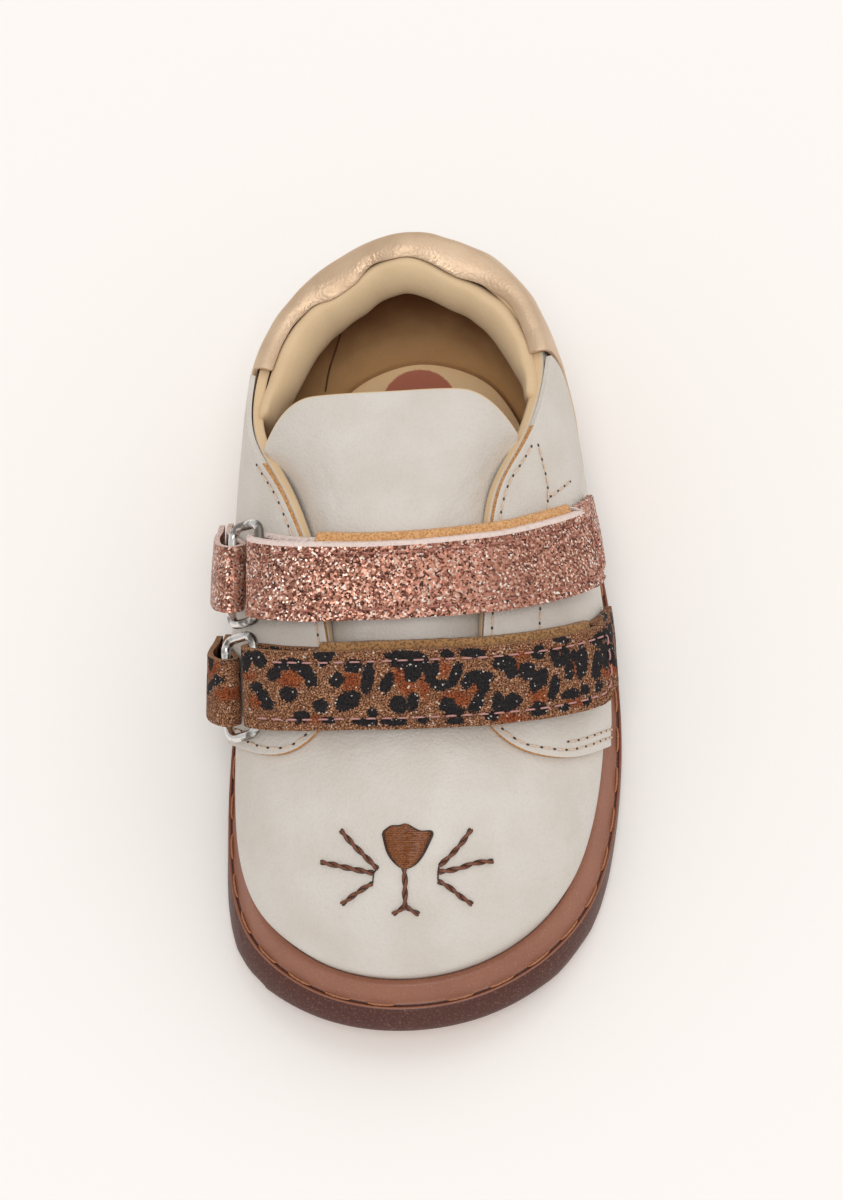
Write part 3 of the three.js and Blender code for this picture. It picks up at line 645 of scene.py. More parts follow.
@dataclass(frozen=True)
class PileTape:
    """Woven hook-and-loop tape: short pile in rows."""

    name: str
    light: Color
    dark: Color

    def material(self) -> Material:
        """Makes the material.

        Returns:
            The material.
        """
        graph = Graph(self.name)
        pile = graph.cells(0.45 * MM, "Distance")
        fibres = graph.noise(0.3 * MM, 5)
        shade = pile * 0.6 + fibres * 0.6
        return graph.dress(
            Base_Color=graph.mix(shade.step(0.25, 0.8), self.dark, self.light),
            Roughness=0.9,
            Sheen_Weight=0.15,
            Normal=graph.bump(shade, 0.2 * MM),
        )


@dataclass(frozen=True)
class PolishedNickel:
    """Bright plated wire with faint hairlines and dark clouds of painted reflection."""

    name: str = "polished_nickel"

    def material(self) -> Material:
        """Makes the material.

        Returns:
            The material.
        """
        graph = Graph(self.name)
        hairlines = graph.noise(0.9 * MM, 5, Vector((1.0, 4.0, 1.0)))
        # Painted reflection: dark clouds in the colour stand for the darker surroundings that the
        # polished wire mirrors.
        painted_reflection = graph.noise(2.2 * MM, 3).step(0.42, 0.58)
        bright = graph.mix(hairlines, srgb(206, 204, 202), srgb(244, 242, 240))
        return graph.dress(
            Base_Color=graph.mix(painted_reflection, bright, srgb(124, 118, 112)),
            Metallic=1.0,
            Roughness=0.1 + hairlines * 0.1 + painted_reflection * 0.12,
            Normal=graph.bump(hairlines, 0.01 * MM),
        )


@dataclass(frozen=True)
class Thread:
    """Twisted sewing thread."""

    name: str
    light: Color
    dark: Color
    roughness: float = 0.6
    shade: str = ""

    def material(self) -> Material:
        """Makes the material; a shade attribute darkens it with painted shade where the thread dips.

        Returns:
            The material.
        """
        graph = Graph(self.name)
        strands = graph.noise(0.22 * MM, 4)
        color = graph.mix(strands.step(0.3, 0.7), self.dark, self.light)
        if self.shade:
            # Painted shade: near black where the thread dips towards the leather.
            raised = graph.stored(self.shade)
            color = graph.mix(raised, srgb(34, 17, 11), color)
        return graph.dress(
            Base_Color=color,
            Roughness=self.roughness,
            Normal=graph.bump(strands, 0.05 * MM),
        )


# Work at the bench: choosing, editing and finishing a mesh.


def choose(piece: Object) -> None:
    """Makes a piece the only one selected, and the active one.

    Args:
        piece: The piece.
    """
    bpy.ops.object.select_all(action="DESELECT")
    piece.select_set(True)
    bpy.context.view_layer.objects.active = piece


@contextmanager
def editing(piece: Object, kind: str = "FACE", keep: bool = False) -> Iterator[None]:
    """Holds a piece in edit mode.

    Args:
        piece: The piece.
        kind: What is selected: "VERT", "EDGE" or "FACE".
        keep: Whether the selection made before stays.

    Returns:
        Nothing, once the piece is in edit mode; it leaves that mode with the block.
    """
    choose(piece)
    bpy.ops.object.mode_set(mode="EDIT")
    bpy.ops.mesh.select_mode(type=kind)
    if not keep:
        bpy.ops.mesh.select_all(action="DESELECT")
    yield
    bpy.ops.object.mode_set(mode="OBJECT")


def unselect(piece: Object, kind: str = "FACE") -> None:
    """Leaves nothing of a piece's mesh selected, and the kind as the mode of selection."""
    with editing(piece, kind):
        pass


def copy_of(node: str, name: str) -> Object:
    """Copies a node of the frame as a clean mesh of four-sided faces.

    Args:
        node: The node's name.
        name: The new piece's name.

    Returns:
        The new piece, with no material.
    """
    choose(frame["nodes"][node])
    bpy.ops.object.duplicate()
    piece = bpy.context.object
    bpy.ops.object.parent_clear(type="CLEAR_KEEP_TRANSFORM")
    for key in list(piece.keys()):
        del piece[key]
    piece.name = name
    piece.data.name = name
    piece.data.materials.clear()
    with editing(piece):
        bpy.ops.mesh.select_all(action="SELECT")
        bpy.ops.mesh.remove_doubles(threshold=0.001 * MM)
        bpy.ops.mesh.tris_convert_to_quads(
            face_threshold=math.radians(60), shape_threshold=math.radians(89)
        )
    return piece


def apply_modifier(piece: Object, kind: str, **settings: object) -> None:
    """Adds a modifier with its settings and applies it.

    Args:
        piece: The piece.
        kind: The modifier's type.
        settings: Its properties.
    """
    choose(piece)
    modifier = piece.modifiers.new(kind.lower(), kind)
    for key, setting in settings.items():
        setattr(modifier, key, setting)
    bpy.ops.object.modifier_apply(modifier=modifier.name)


def keep_edges(piece: Object, angle: float, hardness: float = 1.0) -> None:
    """Creases the sharp edges, so that they stay when the piece is refined.

    Args:
        piece: The piece.
        angle: Edges that turn by more than this are creased, in degrees.
        hardness: How hard the crease is, up to 1.
    """
    with editing(piece, "EDGE"):
        bpy.ops.mesh.edges_select_sharp(sharpness=math.radians(angle))
        bpy.ops.transform.edge_crease(value=hardness)


def refine(piece: Object, levels: int) -> None:
    """Subdivides a piece smoothly."""
    apply_modifier(piece, "SUBSURF", levels=levels, render_levels=levels)


def round_edges(piece: Object, width: float, angle: float = 50.0) -> None:
    """Rounds a piece's sharp edges.

    Args:
        piece: The piece.
        width: Width of the rounding.
        angle: Edges that turn by more than this are rounded, in degrees.
    """
    apply_modifier(
        piece, "BEVEL", width=width, segments=2, limit_method="ANGLE", angle_limit=math.radians(angle)
    )


def shade(piece: Object, angle: float = 40.0) -> None:
    """Shades a piece smoothly, apart from edges sharper than an angle, in degrees."""
    choose(piece)
    bpy.ops.object.shade_smooth_by_angle(angle=math.radians(angle))


def settle(piece: Object, slot: str, *nodes: str) -> None:
    """Puts a finished piece on the shoe.

    Args:
        piece: The piece.
        slot: The record's material slot of its finish; not used.
        nodes: The nodes of the frame that it stands for.
    """
    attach(piece, "root")
    if nodes:
        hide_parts(*nodes)
    log.info("%s: %d faces", piece.name, len(piece.data.polygons))


@dataclass
class Line:
    """A line on a surface: points with the surface's normals."""

    points: list[Vector]
    normals: list[Vector]
    reach: list[float] = field(init=False)

    def __post_init__(self) -> None:
        """Works out how far along the line each point lies."""
        self.reach = [0.0]
        for before, after in zip(self.points, self.points[1:]):
            self.reach.append(self.reach[-1] + (after - before).length)

    @property
    def length(self) -> float:
        """Length of the line."""
        return self.reach[-1]

    def at(self, distance: float) -> tuple[Vector, Vector, Vector]:
        """Place on the line.

        Args:
            distance: Distance from its start.

        Returns:
            Point, direction and normal there.
        """
        last = len(self.points) - 2
        index = 0
        while index < last and self.reach[index + 1] < distance:
            index += 1
        span = self.reach[index + 1] - self.reach[index] or 1.0
        share = (distance - self.reach[index]) / span
        point = self.points[index].lerp(self.points[index + 1], share)
        normal = self.normals[index].lerp(self.normals[index + 1], share).normalized()
        return point, (self.points[index + 1] - self.points[index]).normalized(), normal

    def part(self, start: float, end: float, step: float = 0.5 * MM) -> "Line":
        """Takes a stretch of the line.

        Args:
            start: Distance of its start from the line's start.
            end: Distance of its end from the line's start.
            step: Distance between the new points.

        Returns:
            The stretch.
        """
        count = max(2, round((end - start) / step) + 1)
        places = [self.at(start + (end - start) * k / (count - 1)) for k in range(count)]
        return Line([p for p, _, _ in places], [n for _, _, n in places])


def through(points: Sequence[Vector], step: float, closed: bool = False) -> list[Vector]:
    """Smooth line through points at about equal steps.

    Args:
        points: The points.
        step: Distance between the new points.
        closed: Whether the last point joins the first.

    Returns:
        The new points.
    """
    count = len(points)
    spans = count if closed else count - 1
    made: list[Vector] = []
    for k in range(spans):
        a, b, c, d = (
            points[(k + i) % count] if closed else points[min(max(k + i, 0), count - 1)]
            for i in (-1, 0, 1, 2)
        )
        pieces = max(1, round((c - b).length / step))
        for i in range(pieces):
            s = i / pieces
            made.append(
                0.5 * (2 * b + (c - a) * s + (2 * a - 5 * b + 4 * c - d) * s**2)
                + 0.5 * (3 * b - a - 3 * c + d) * s**3
            )
    made.append(points[0].copy() if closed else points[-1].copy())
    return made


class Sheet:
    """The faces on one side of a thin piece, up to its sharp edges, and their border."""

    def __init__(self, piece: Object, score: Callable[[Vector, Vector], float], slot: int) -> None:
        """Finds the faces, gives them a material slot and keeps their border.

        Args:
            piece: The piece.
            score: How much a face, by its middle and normal, belongs to this side; the best
                one is where the search starts.
            slot: Number of the material slot.
        """
        unselect(piece)
        faces = piece.data.polygons
        max(faces, key=lambda f: score(f.center, f.normal)).select = True
        with editing(piece, keep=True):
            bpy.ops.mesh.faces_select_linked_flat(sharpness=math.radians(62))
            piece.active_material_index = slot
            bpy.ops.object.material_slot_assign()
        facing: dict[int, Vector] = {}
        for face in faces:
            if face.select:
                for index in face.vertices:
                    facing[index] = facing.get(index, Vector()) + face.normal
        with editing(piece, keep=True):
            bpy.ops.mesh.region_to_loop()
        border = self._chain([tuple(e.vertices) for e in piece.data.edges if e.select])
        self.normals = [facing[k].normalized() for k in border]
        self.points = [piece.data.vertices[k].co.copy() for k in border]

    @staticmethod
    def _chain(edges: list[tuple[int, int]]) -> list[int]:
        """Puts the vertices of a closed loop in order.

        Args:
            edges: The two vertices of each edge of the loop.

        Returns:
            The vertices.
        """
        beside: dict[int, list[int]] = {}
        for a, b in edges:
            beside.setdefault(a, []).append(b)
            beside.setdefault(b, []).append(a)
        start = edges[0][0]
        order = [start, beside[start][0]]
        while order[-1] != start and len(order) <= len(edges):
            forward = [k for k in beside[order[-1]] if k != order[-2]]
            order.append(forward[0])
        return order[:-1]

    def sides(self) -> list[Edge]:
        """Splits the border at its four sharpest corners.

        Returns:
            The sides.
        """
        count = len(self.points)

        def turn(k: int) -> float:
            """How much the border turns at a vertex.

            Args:
                k: The vertex's number on the border.

            Returns:
                The angle.
            """
            before = self.points[k] - self.points[k - 1]
            after = self.points[(k + 1) % count] - self.points[k]
            return before.angle(after)

        corners = sorted(sorted(range(count), key=turn)[-4:])
        found = []
        for start, end in zip(corners, corners[1:] + [corners[0] + count]):
            run = [k % count for k in range(start, end + 1)]
            found.append(([self.points[k] for k in run], [self.normals[k] for k in run]))
        return found


class Surface:
    """A finished piece as something to lay other things on."""

    def __init__(self, piece: Object) -> None:
        """Reads the piece's mesh.

        Args:
            piece: The piece.
        """
        mesh = piece.data
        self.tree = BVHTree.FromPolygons(
            [v.co.copy() for v in mesh.vertices], [tuple(p.vertices) for p in mesh.polygons]
        )

    def nearest(self, point: Vector) -> tuple[Vector, Vector]:
        """Nearest place on the surface, and its normal."""
        place, normal, _, _ = self.tree.find_nearest(point)
        return place, normal

    def struck(self, start: Vector, direction: Vector) -> tuple[Vector, Vector] | None:
        """First place that a ray meets, and its normal, or nothing."""
        place, normal, _, _ = self.tree.ray_cast(start, direction)
        return None if place is None else (place, normal)

    def inset(self, edge: Edge, margin: float, inside: Vector) -> Line:
        """Line on the surface beside an edge.

        Args:
            edge: The edge.
            margin: Distance from the edge.
            inside: A point on the side of the edge where the line goes.

        Returns:
            The line.
        """
        step = 0.8 * MM
        points = through(edge[0], step)
        normals = [n.normalized() for n in through([n * 5 * MM for n in edge[1]], step * 4)]
        normals = [normals[round(k * (len(normals) - 1) / (len(points) - 1))] for k in range(len(points))]
        middle = len(points) // 2
        along = points[middle + 1] - points[middle - 1]
        side = 1 if normals[middle].cross(along).dot(inside - points[middle]) > 0 else -1
        moved = []
        for k, point in enumerate(points):
            along = points[min(k + 1, len(points) - 1)] - points[max(k - 1, 0)]
            across = normals[k].cross(along).normalized() * side
            moved.append(point + across * margin)
        for _ in range(3):
            moved = [moved[0]] + [
                (a + b * 2 + c) / 4 for a, b, c in zip(moved, moved[1:], moved[2:])
            ] + [moved[-1]]
        places = [self.nearest(point) for point in moved]
        return Line([p for p, _ in places], [n for _, n in places])


def reshape(piece: Object, moved: Callable[[Vector, Vector], Vector]) -> None:
    """Moves a piece's vertices.

    Args:
        piece: The piece.
        moved: Gives a vertex its new place, from its place and its normal.
    """
    mesh = piece.data
    facing = [entry.vector.copy() for entry in mesh.vertex_normals]
    places = [moved(vertex.co.copy(), normal) for vertex, normal in zip(mesh.vertices, facing)]
    mesh.vertices.foreach_set("co", [part for place in places for part in place])
    mesh.update()


def swell(piece: Object, height: Callable[[Vector], float]) -> None:
    """Moves a piece's surface out along its normals.

    Args:
        piece: The piece.
        height: How far a place moves; less than nothing goes in.
    """
    reshape(piece, lambda place, normal: place + normal * height(place))


def store(piece: Object, name: str, measure: Callable[[Vector], float]) -> None:
    """Stores a number at each vertex for the shaders to read.

    Args:
        piece: The piece.
        name: The attribute's name.
        measure: Works the number out from the vertex's place.
    """
    layer = piece.data.attributes.new(name, "FLOAT", "POINT")
    layer.data.foreach_set("value", [measure(vertex.co) for vertex in piece.data.vertices])


def between(table: Sequence[tuple[float, float]], place: float) -> float:
    """Smooth value between the rows of a table.

    Args:
        table: Places and values, in order.
        place: Where the value is wanted.

    Returns:
        The value.
    """
    if place <= table[0][0]:
        return table[0][1]
    for (low, first), (high, second) in zip(table, table[1:]):
        if place <= high:
            share = (place - low) / (high - low)
            return first + (second - first) * share * share * (3 - 2 * share)
    return table[-1][1]


def press(piece: Object, line: Line, width: float, depth: float) -> None:
    """Presses a soft trough into a piece along a line; a negative depth raises a ridge.

    Args:
        piece: The piece.
        line: Where the trough runs.
        width: Half its width.
        depth: Its depth in the middle.
    """
    dense = line.part(0, line.length, 0.25 * MM).points
    tree = KDTree(len(dense))
    for index, point in enumerate(dense):
        tree.insert(point, index)
    tree.balance()
    swell(piece, lambda place: -depth * math.exp(-((tree.find(place)[2] / width) ** 2)))


def roughen(piece: Object, amount: float, size: float) -> None:
    """Moves a piece's surface in and out by smooth noise.

    Args:
        piece: The piece.
        amount: Furthest move.
        size: Width of a swelling.
    """
    swell(piece, lambda place: amount * noise.noise(place / size))


def tubes(name: str, runs: Sequence[Sequence[Vector]], radius: float, finish: Material) -> Object:
    """Makes round threads along lines of points as one mesh.

    Args:
        name: The new piece's name.
        runs: Points of each thread.
        radius: Radius of the thread, which thins at its ends.
        finish: Its material.

    Returns:
        The new piece.
    """
    curve = bpy.data.curves.new(name, "CURVE")
    curve.dimensions = "3D"
    curve.bevel_depth = radius
    curve.bevel_resolution = 1
    curve.use_fill_caps = True
    for run in runs:
        spline = curve.splines.new("POLY")
        spline.points.add(len(run) - 1)
        for index, (target, point) in enumerate(zip(spline.points, run)):
            target.co = (*point, 1.0)
            target.radius = 0.6 if index in (0, len(run) - 1) else 1.0
    piece = bpy.data.objects.new(name, curve)
    bpy.context.scene.collection.objects.link(piece)
    choose(piece)
    bpy.ops.object.convert(target="MESH")
    piece = bpy.context.object
    piece.data.materials.clear()
    piece.data.materials.append(finish)
    with editing(piece):
        bpy.ops.mesh.select_all(action="SELECT")
        bpy.ops.mesh.normals_make_consistent(inside=False)
    shade(piece, 60)
    return piece


@dataclass(frozen=True)
class Sewing:
    """Rhythm and thread of a seam."""

    pitch: float
    stitch: float
    radius: float
    hole: float = 0.24 * MM

    def stitches(self, line: Line) -> list[list[Vector]]:
        """Lays stitches along a line: each goes up out of its hole, along, and down again.

        Args:
            line: The seam.

        Returns:
            Points of each stitch.
        """
        count = int(line.length / self.pitch)
        spare = (line.length - count * self.pitch + self.pitch - self.stitch) / 2
        # Share of the stitch's length, and height in the thread's radius.
        heights = ((0.0, -1.2), (0.1, 0.0), (0.3, 0.55), (0.7, 0.55), (0.9, 0.0), (1.0, -1.2))
        runs = []
        for k in range(count):
            run = []
            for share, height in heights:
                point, _, normal = line.at(spare + k * self.pitch + share * self.stitch)
                run.append(point + normal * height * self.radius)
            runs.append(run)
        return runs

    def holes(self, line: Line) -> list[Matrix]:
        """Places the needle holes between the stitches.

        Args:
            line: The seam.

        Returns:
            Place and turn of each hole.
        """
        count = int(line.length / self.pitch)
        spare = (line.length - count * self.pitch) / 2
        places = []
        for k in range(count + 1):
            point, along, normal = line.at(spare + k * self.pitch)
            across = normal.cross(along).normalized()
            axes = Matrix((across.cross(normal), across, normal)).transposed().to_4x4()
            places.append(Matrix.Translation(point) @ axes)
        return places


def scatter(name: str, prototype: Object, places: Sequence[Matrix], finish: Material) -> Object:
    """Copies a small shape to many places as one mesh, and removes the shape.

    Args:
        name: The new piece's name.
        prototype: The shape.
        places: Place and turn of each copy.
        finish: Material of the copies.

    Returns:
        The new piece.
    """
    points = [v.co.copy() for v in prototype.data.vertices]
    faces = [tuple(p.vertices) for p in prototype.data.polygons]
    mesh = bpy.data.meshes.new(name)
    mesh.from_pydata(
        [tuple(place @ p) for place in places for p in points],
        [],
        [tuple(i + k * len(points) for i in face) for k in range(len(places)) for face in faces],
    )
    mesh.materials.append(finish)
    piece = bpy.data.objects.new(name, mesh)
    bpy.context.scene.collection.objects.link(piece)
    bpy.data.objects.remove(prototype)
    shade(piece, 80)
    return piece


def needle_hole(radius: float) -> Object:
    """Makes the flat pit that stands for a needle hole.

    Args:
        radius: Half its width.

    Returns:
        The pit.
    """
    bpy.ops.mesh.primitive_ico_sphere_add(subdivisions=1, radius=radius)
    hole = bpy.context.object
    with editing(hole, "VERT"):
        bpy.ops.mesh.select_all(action="SELECT")
        bpy.ops.transform.resize(value=(1.5, 1.0, 0.35))
    return hole


# The photograph, the light and the floor.


@dataclass(frozen=True)
class Photograph:
    """Where the picture is taken from, and what its pixels show."""

    width: int = 843
    height: int = 1200
    elevation: float = math.radians(64)
    azimuth: float = math.radians(8)
    roll: float = math.radians(10)
    distance: float = 600 * MM
    pixels_per_metre: float = 5550.0
    target: tuple[float, float, float] = (0.18 * MM, -0.76 * MM, 20 * MM)
    target_pixel: Pixel = (415.0, 640.0)
    sensor: float = 36.0

    def axes(self) -> tuple[Vector, Vector, Vector]:
        """Works out how the picture is turned.

        Returns:
            Directions of its right, its top and back towards the camera.
        """
        flat = math.cos(self.elevation)
        back = Vector(
            (math.sin(self.azimuth) * flat, -math.cos(self.azimuth) * flat, math.sin(self.elevation))
        )
        level = Vector((math.cos(self.azimuth), math.sin(self.azimuth), 0))
        upright = back.cross(level)
        right = level * math.cos(self.roll) - upright * math.sin(self.roll)
        up = upright * math.cos(self.roll) + level * math.sin(self.roll)
        return right, up, back

    def eye(self) -> Vector:
        """Place of the camera."""
        return Vector(self.target) + self.axes()[2] * self.distance

    def ray(self, x: float, y: float) -> Vector:
        """Works out what a pixel looks along.

        Args:
            x, y: The pixel.

        Returns:
            Direction from the camera.
        """
        right, up, back = self.axes()
        focal = self.pixels_per_metre * self.distance
        across = right * (x - self.target_pixel[0]) - up * (y - self.target_pixel[1])
        return (across - back * focal).normalized()

    def on(self, surface: Surface, x: float, y: float) -> tuple[Vector, Vector] | None:
        """Place on a surface that a pixel shows, and its normal."""
        return surface.struck(self.eye(), self.ray(x, y))

    def line(self, surface: Surface, pixels: Sequence[Pixel], step: float = 4.0) -> Line:
        """Line on a surface through pixels.

        Args:
            surface: What carries it.
            pixels: The pixels.
            step: Pixels between two points.

        Returns:
            The line.
        """
        flat = through([Vector((x, y, 0)) for x, y in pixels], step)
        found = [self.on(surface, p.x, p.y) for p in flat]
        places = [place for place in found if place is not None]
        return Line([p for p, _ in places], [n for _, n in places])

    def add_camera(self) -> None:
        """Adds the camera and makes it the scene's."""
        right, up, back = self.axes()
        bpy.ops.object.camera_add()
        camera = bpy.context.object
        camera.name = "camera"
        turn = Matrix((right, up, back)).transposed().to_4x4()
        camera.matrix_world = Matrix.Translation(self.eye()) @ turn
        camera.data.sensor_width = self.sensor
        camera.data.lens = self.pixels_per_metre * self.distance * self.sensor / self.height
        camera.data.shift_x = (self.width / 2 - self.target_pixel[0]) / self.height
        camera.data.shift_y = (self.target_pixel[1] - self.height / 2) / self.height
        camera.data.clip_start = 10 * MM
        camera.data.clip_end = 20
        bpy.context.scene.camera = camera


@dataclass(frozen=True)
class Studio:
    """Pale floor and soft light from above, a wide sun behind and a nearer one in front."""

    floor_size: float = 6.0
    floor_color: Color = srgb(250, 247, 244)
    sky: Color = (1.0, 0.985, 0.97, 1.0)
    sky_strength: float = 0.65

    def build(self) -> None:
        """Adds the floor, the lights and the sky."""
        bpy.ops.mesh.primitive_plane_add(size=self.floor_size, location=(0, 0, -0.02 * MM))
        floor = bpy.context.object
        floor.name = "floor"
        graph = Graph("pale_floor")
        tint = graph.mix(graph.noise(0.6, 2), self.floor_color, srgb(251, 248, 245))
        floor.data.materials.append(graph.dress(Base_Color=tint, Roughness=0.9, Specular_IOR_Level=0.1))
        self._sun("key", 0.34, 50, (-24, 26))
        self._sun("front", 1.0, 26, (22, 3))
        world = bpy.data.worlds.new("sky")
        world.use_nodes = True
        backdrop = world.node_tree.nodes["Background"]
        backdrop.inputs["Color"].default_value = self.sky
        backdrop.inputs["Strength"].default_value = self.sky_strength
        bpy.context.scene.world = world
        bpy.context.scene.view_settings.view_transform = "Standard"

    @staticmethod
    def _sun(name: str, strength: float, spread: float, tilt: tuple[float, float]) -> None:
        """Adds a wide soft light.

        Args:
            name: Its name.
            strength: Its strength.
            spread: How wide it looks, in degrees.
            tilt: Turn about x and y from straight down, in degrees.
        """
        bpy.ops.object.light_add(type="SUN", location=(0, 0, 1))
        sun = bpy.context.object
        sun.name = name
        sun.rotation_euler = (math.radians(tilt[0]), math.radians(tilt[1]), 0)
        sun.data.energy = strength
        sun.data.angle = math.radians(spread)
        sun.data.color = (1.0, 0.985, 0.965)


# Sub-assemblies of the shoe.


@dataclass
class Sole:
    """Rubber cup sole with a thread in the groove along its ridge, and the footbed in it."""

    ridge: float = 6.6 * MM
    spring: float = 7.6 * MM
    spring_start: float = -26.76 * MM
    toe: float = -72.26 * MM
    heel_lift: float = 1.6 * MM
    heel_start: float = 57.24 * MM
    heel: float = 70.74 * MM
    groove: float = 0.5 * MM
    tolerance: float = 0.06 * MM
    foot_edge: float = 0.9 * MM
    sewing: Sewing = Sewing(pitch=7.9 * MM, stitch=5.0 * MM, radius=0.2 * MM)

    def rise(self, y: float) -> float:
        """How far the toe spring and the heel lift raise the sole.

        Args:
            y: Place along the sole.

        Returns:
            The rise.
        """
        toe = max(0.0, (self.spring_start - y) / (self.spring_start - self.toe))
        heel = max(0.0, (y - self.heel_start) / (self.heel - self.heel_start))
        return self.spring * toe**2 + self.heel_lift * heel**2

    def build(self) -> None:
        """Builds the sole, its thread and the footbed."""
        cup = copy_of("outsole", "cup_sole")
        level = self.ridge - self.groove / 2
        cup.data.materials.append(SoleRubber(level, self.foot_edge).material())
        ring = self._lower_groove(cup)
        keep_edges(cup, 58)
        refine(cup, 2)
        store(cup, "height", lambda place: place.z - self.rise(place.y))
        shade(cup, 50)
        settle(cup, "brown_rubber", "outsole")
        path = through(ring, 0.8 * MM, closed=True)
        line = Line(path, [Vector((p.x, p.y, 45 * MM)).normalized() for p in path])
        thread = Thread("sole_thread", srgb(190, 128, 88), srgb(136, 84, 54))
        settle(
            tubes("sole_thread", self.sewing.stitches(line), self.sewing.radius, thread.material()),
            "brown_rubber",
        )
        self._build_footbed()

    def _lower_groove(self, cup: Object) -> list[Vector]:
        """Sinks the ring behind the ridge to a groove.

        Args:
            cup: The sole.

        Returns:
            The ring's points in order, at the height where the thread lies.
        """
        unselect(cup, "VERT")
        ring = []
        for vertex in cup.data.vertices:
            height = vertex.co.z - self.rise(vertex.co.y)
            vertex.select = abs(height - self.ridge) < self.tolerance
            if vertex.select:
                ring.append(vertex.co.copy())
        with editing(cup, "VERT", keep=True):
            bpy.ops.transform.translate(value=(0, 0, -self.groove))
        ring.sort(key=lambda p: math.atan2(p.x, p.y))
        return ring

    @staticmethod
    def _build_footbed() -> None:
        """Builds the footbed."""
        bed = copy_of("insole", "footbed")
        bed.data.materials.append(Footbed().material())
        keep_edges(bed, 70, 0.7)
        refine(bed, 2)
        shade(bed)
        settle(bed, "insole_fabric", "insole")


@dataclass
class Shell:
    """Vamp and lining: the hollow body of the upper."""

    photo: Photograph
    cream: Material
    lining: Material
    rim: Material
    # Faint flexing folds across the toes, in pixels of the photograph, as the seam below is.
    folds: tuple[tuple[Pixel, ...], ...] = (
        ((330, 905), (362, 920), (400, 927), (440, 922), (470, 912)),
        ((352, 928), (390, 940), (430, 936)),
        ((288, 800), (292, 830), (302, 858)),
        ((560, 792), (556, 826), (546, 852)),
    )
    fold_width: float = 1.2 * MM
    fold_depth: float = 0.1 * MM
    lining_seam: tuple[Pixel, ...] = ((344, 322), (337, 345), (329, 370), (325, 392))

    def build(self) -> Surface:
        """Builds the shell.

        Returns:
            Its surface, for the embroidery.
        """
        piece = copy_of("upper", "vamp_shell")
        for finish in (self.rim, self.cream, self.lining):
            piece.data.materials.append(finish)
        Sheet(piece, lambda at, facing: facing.z + at.z / MM / 1000 - abs(at.x) / MM, 1)
        inside = Vector((0, 40 * MM, 20 * MM))
        Sheet(piece, lambda at, facing: -(at - inside).length + facing.dot(inside - at) * 2, 2)
        keep_edges(piece, 70)
        refine(piece, 2)
        for fold in self.folds:
            press(piece, self.photo.line(Surface(piece), fold), self.fold_width, self.fold_depth)
        shade(piece, 60)
        settle(piece, "cream_leather", "upper")
        surface = Surface(piece)
        seam = self.photo.line(surface, self.lining_seam)
        dark = Thread("lining_thread", srgb(120, 82, 50), srgb(84, 54, 32)).material()
        run = [point + normal * 0.05 * MM for point, normal in zip(seam.points, seam.normals)]
        settle(tubes("lining_seam", [run], 0.22 * MM, dark), "beige_lining")
        return surface


class Side(Enum):
    """The two quarters: the node, the new name, and the facing's upper corner in pixels."""

    OUTER = ("quarter_lateral", "outer_quarter", (532, 440))
    INNER = ("quarter_medial", "inner_quarter", (254, 462))


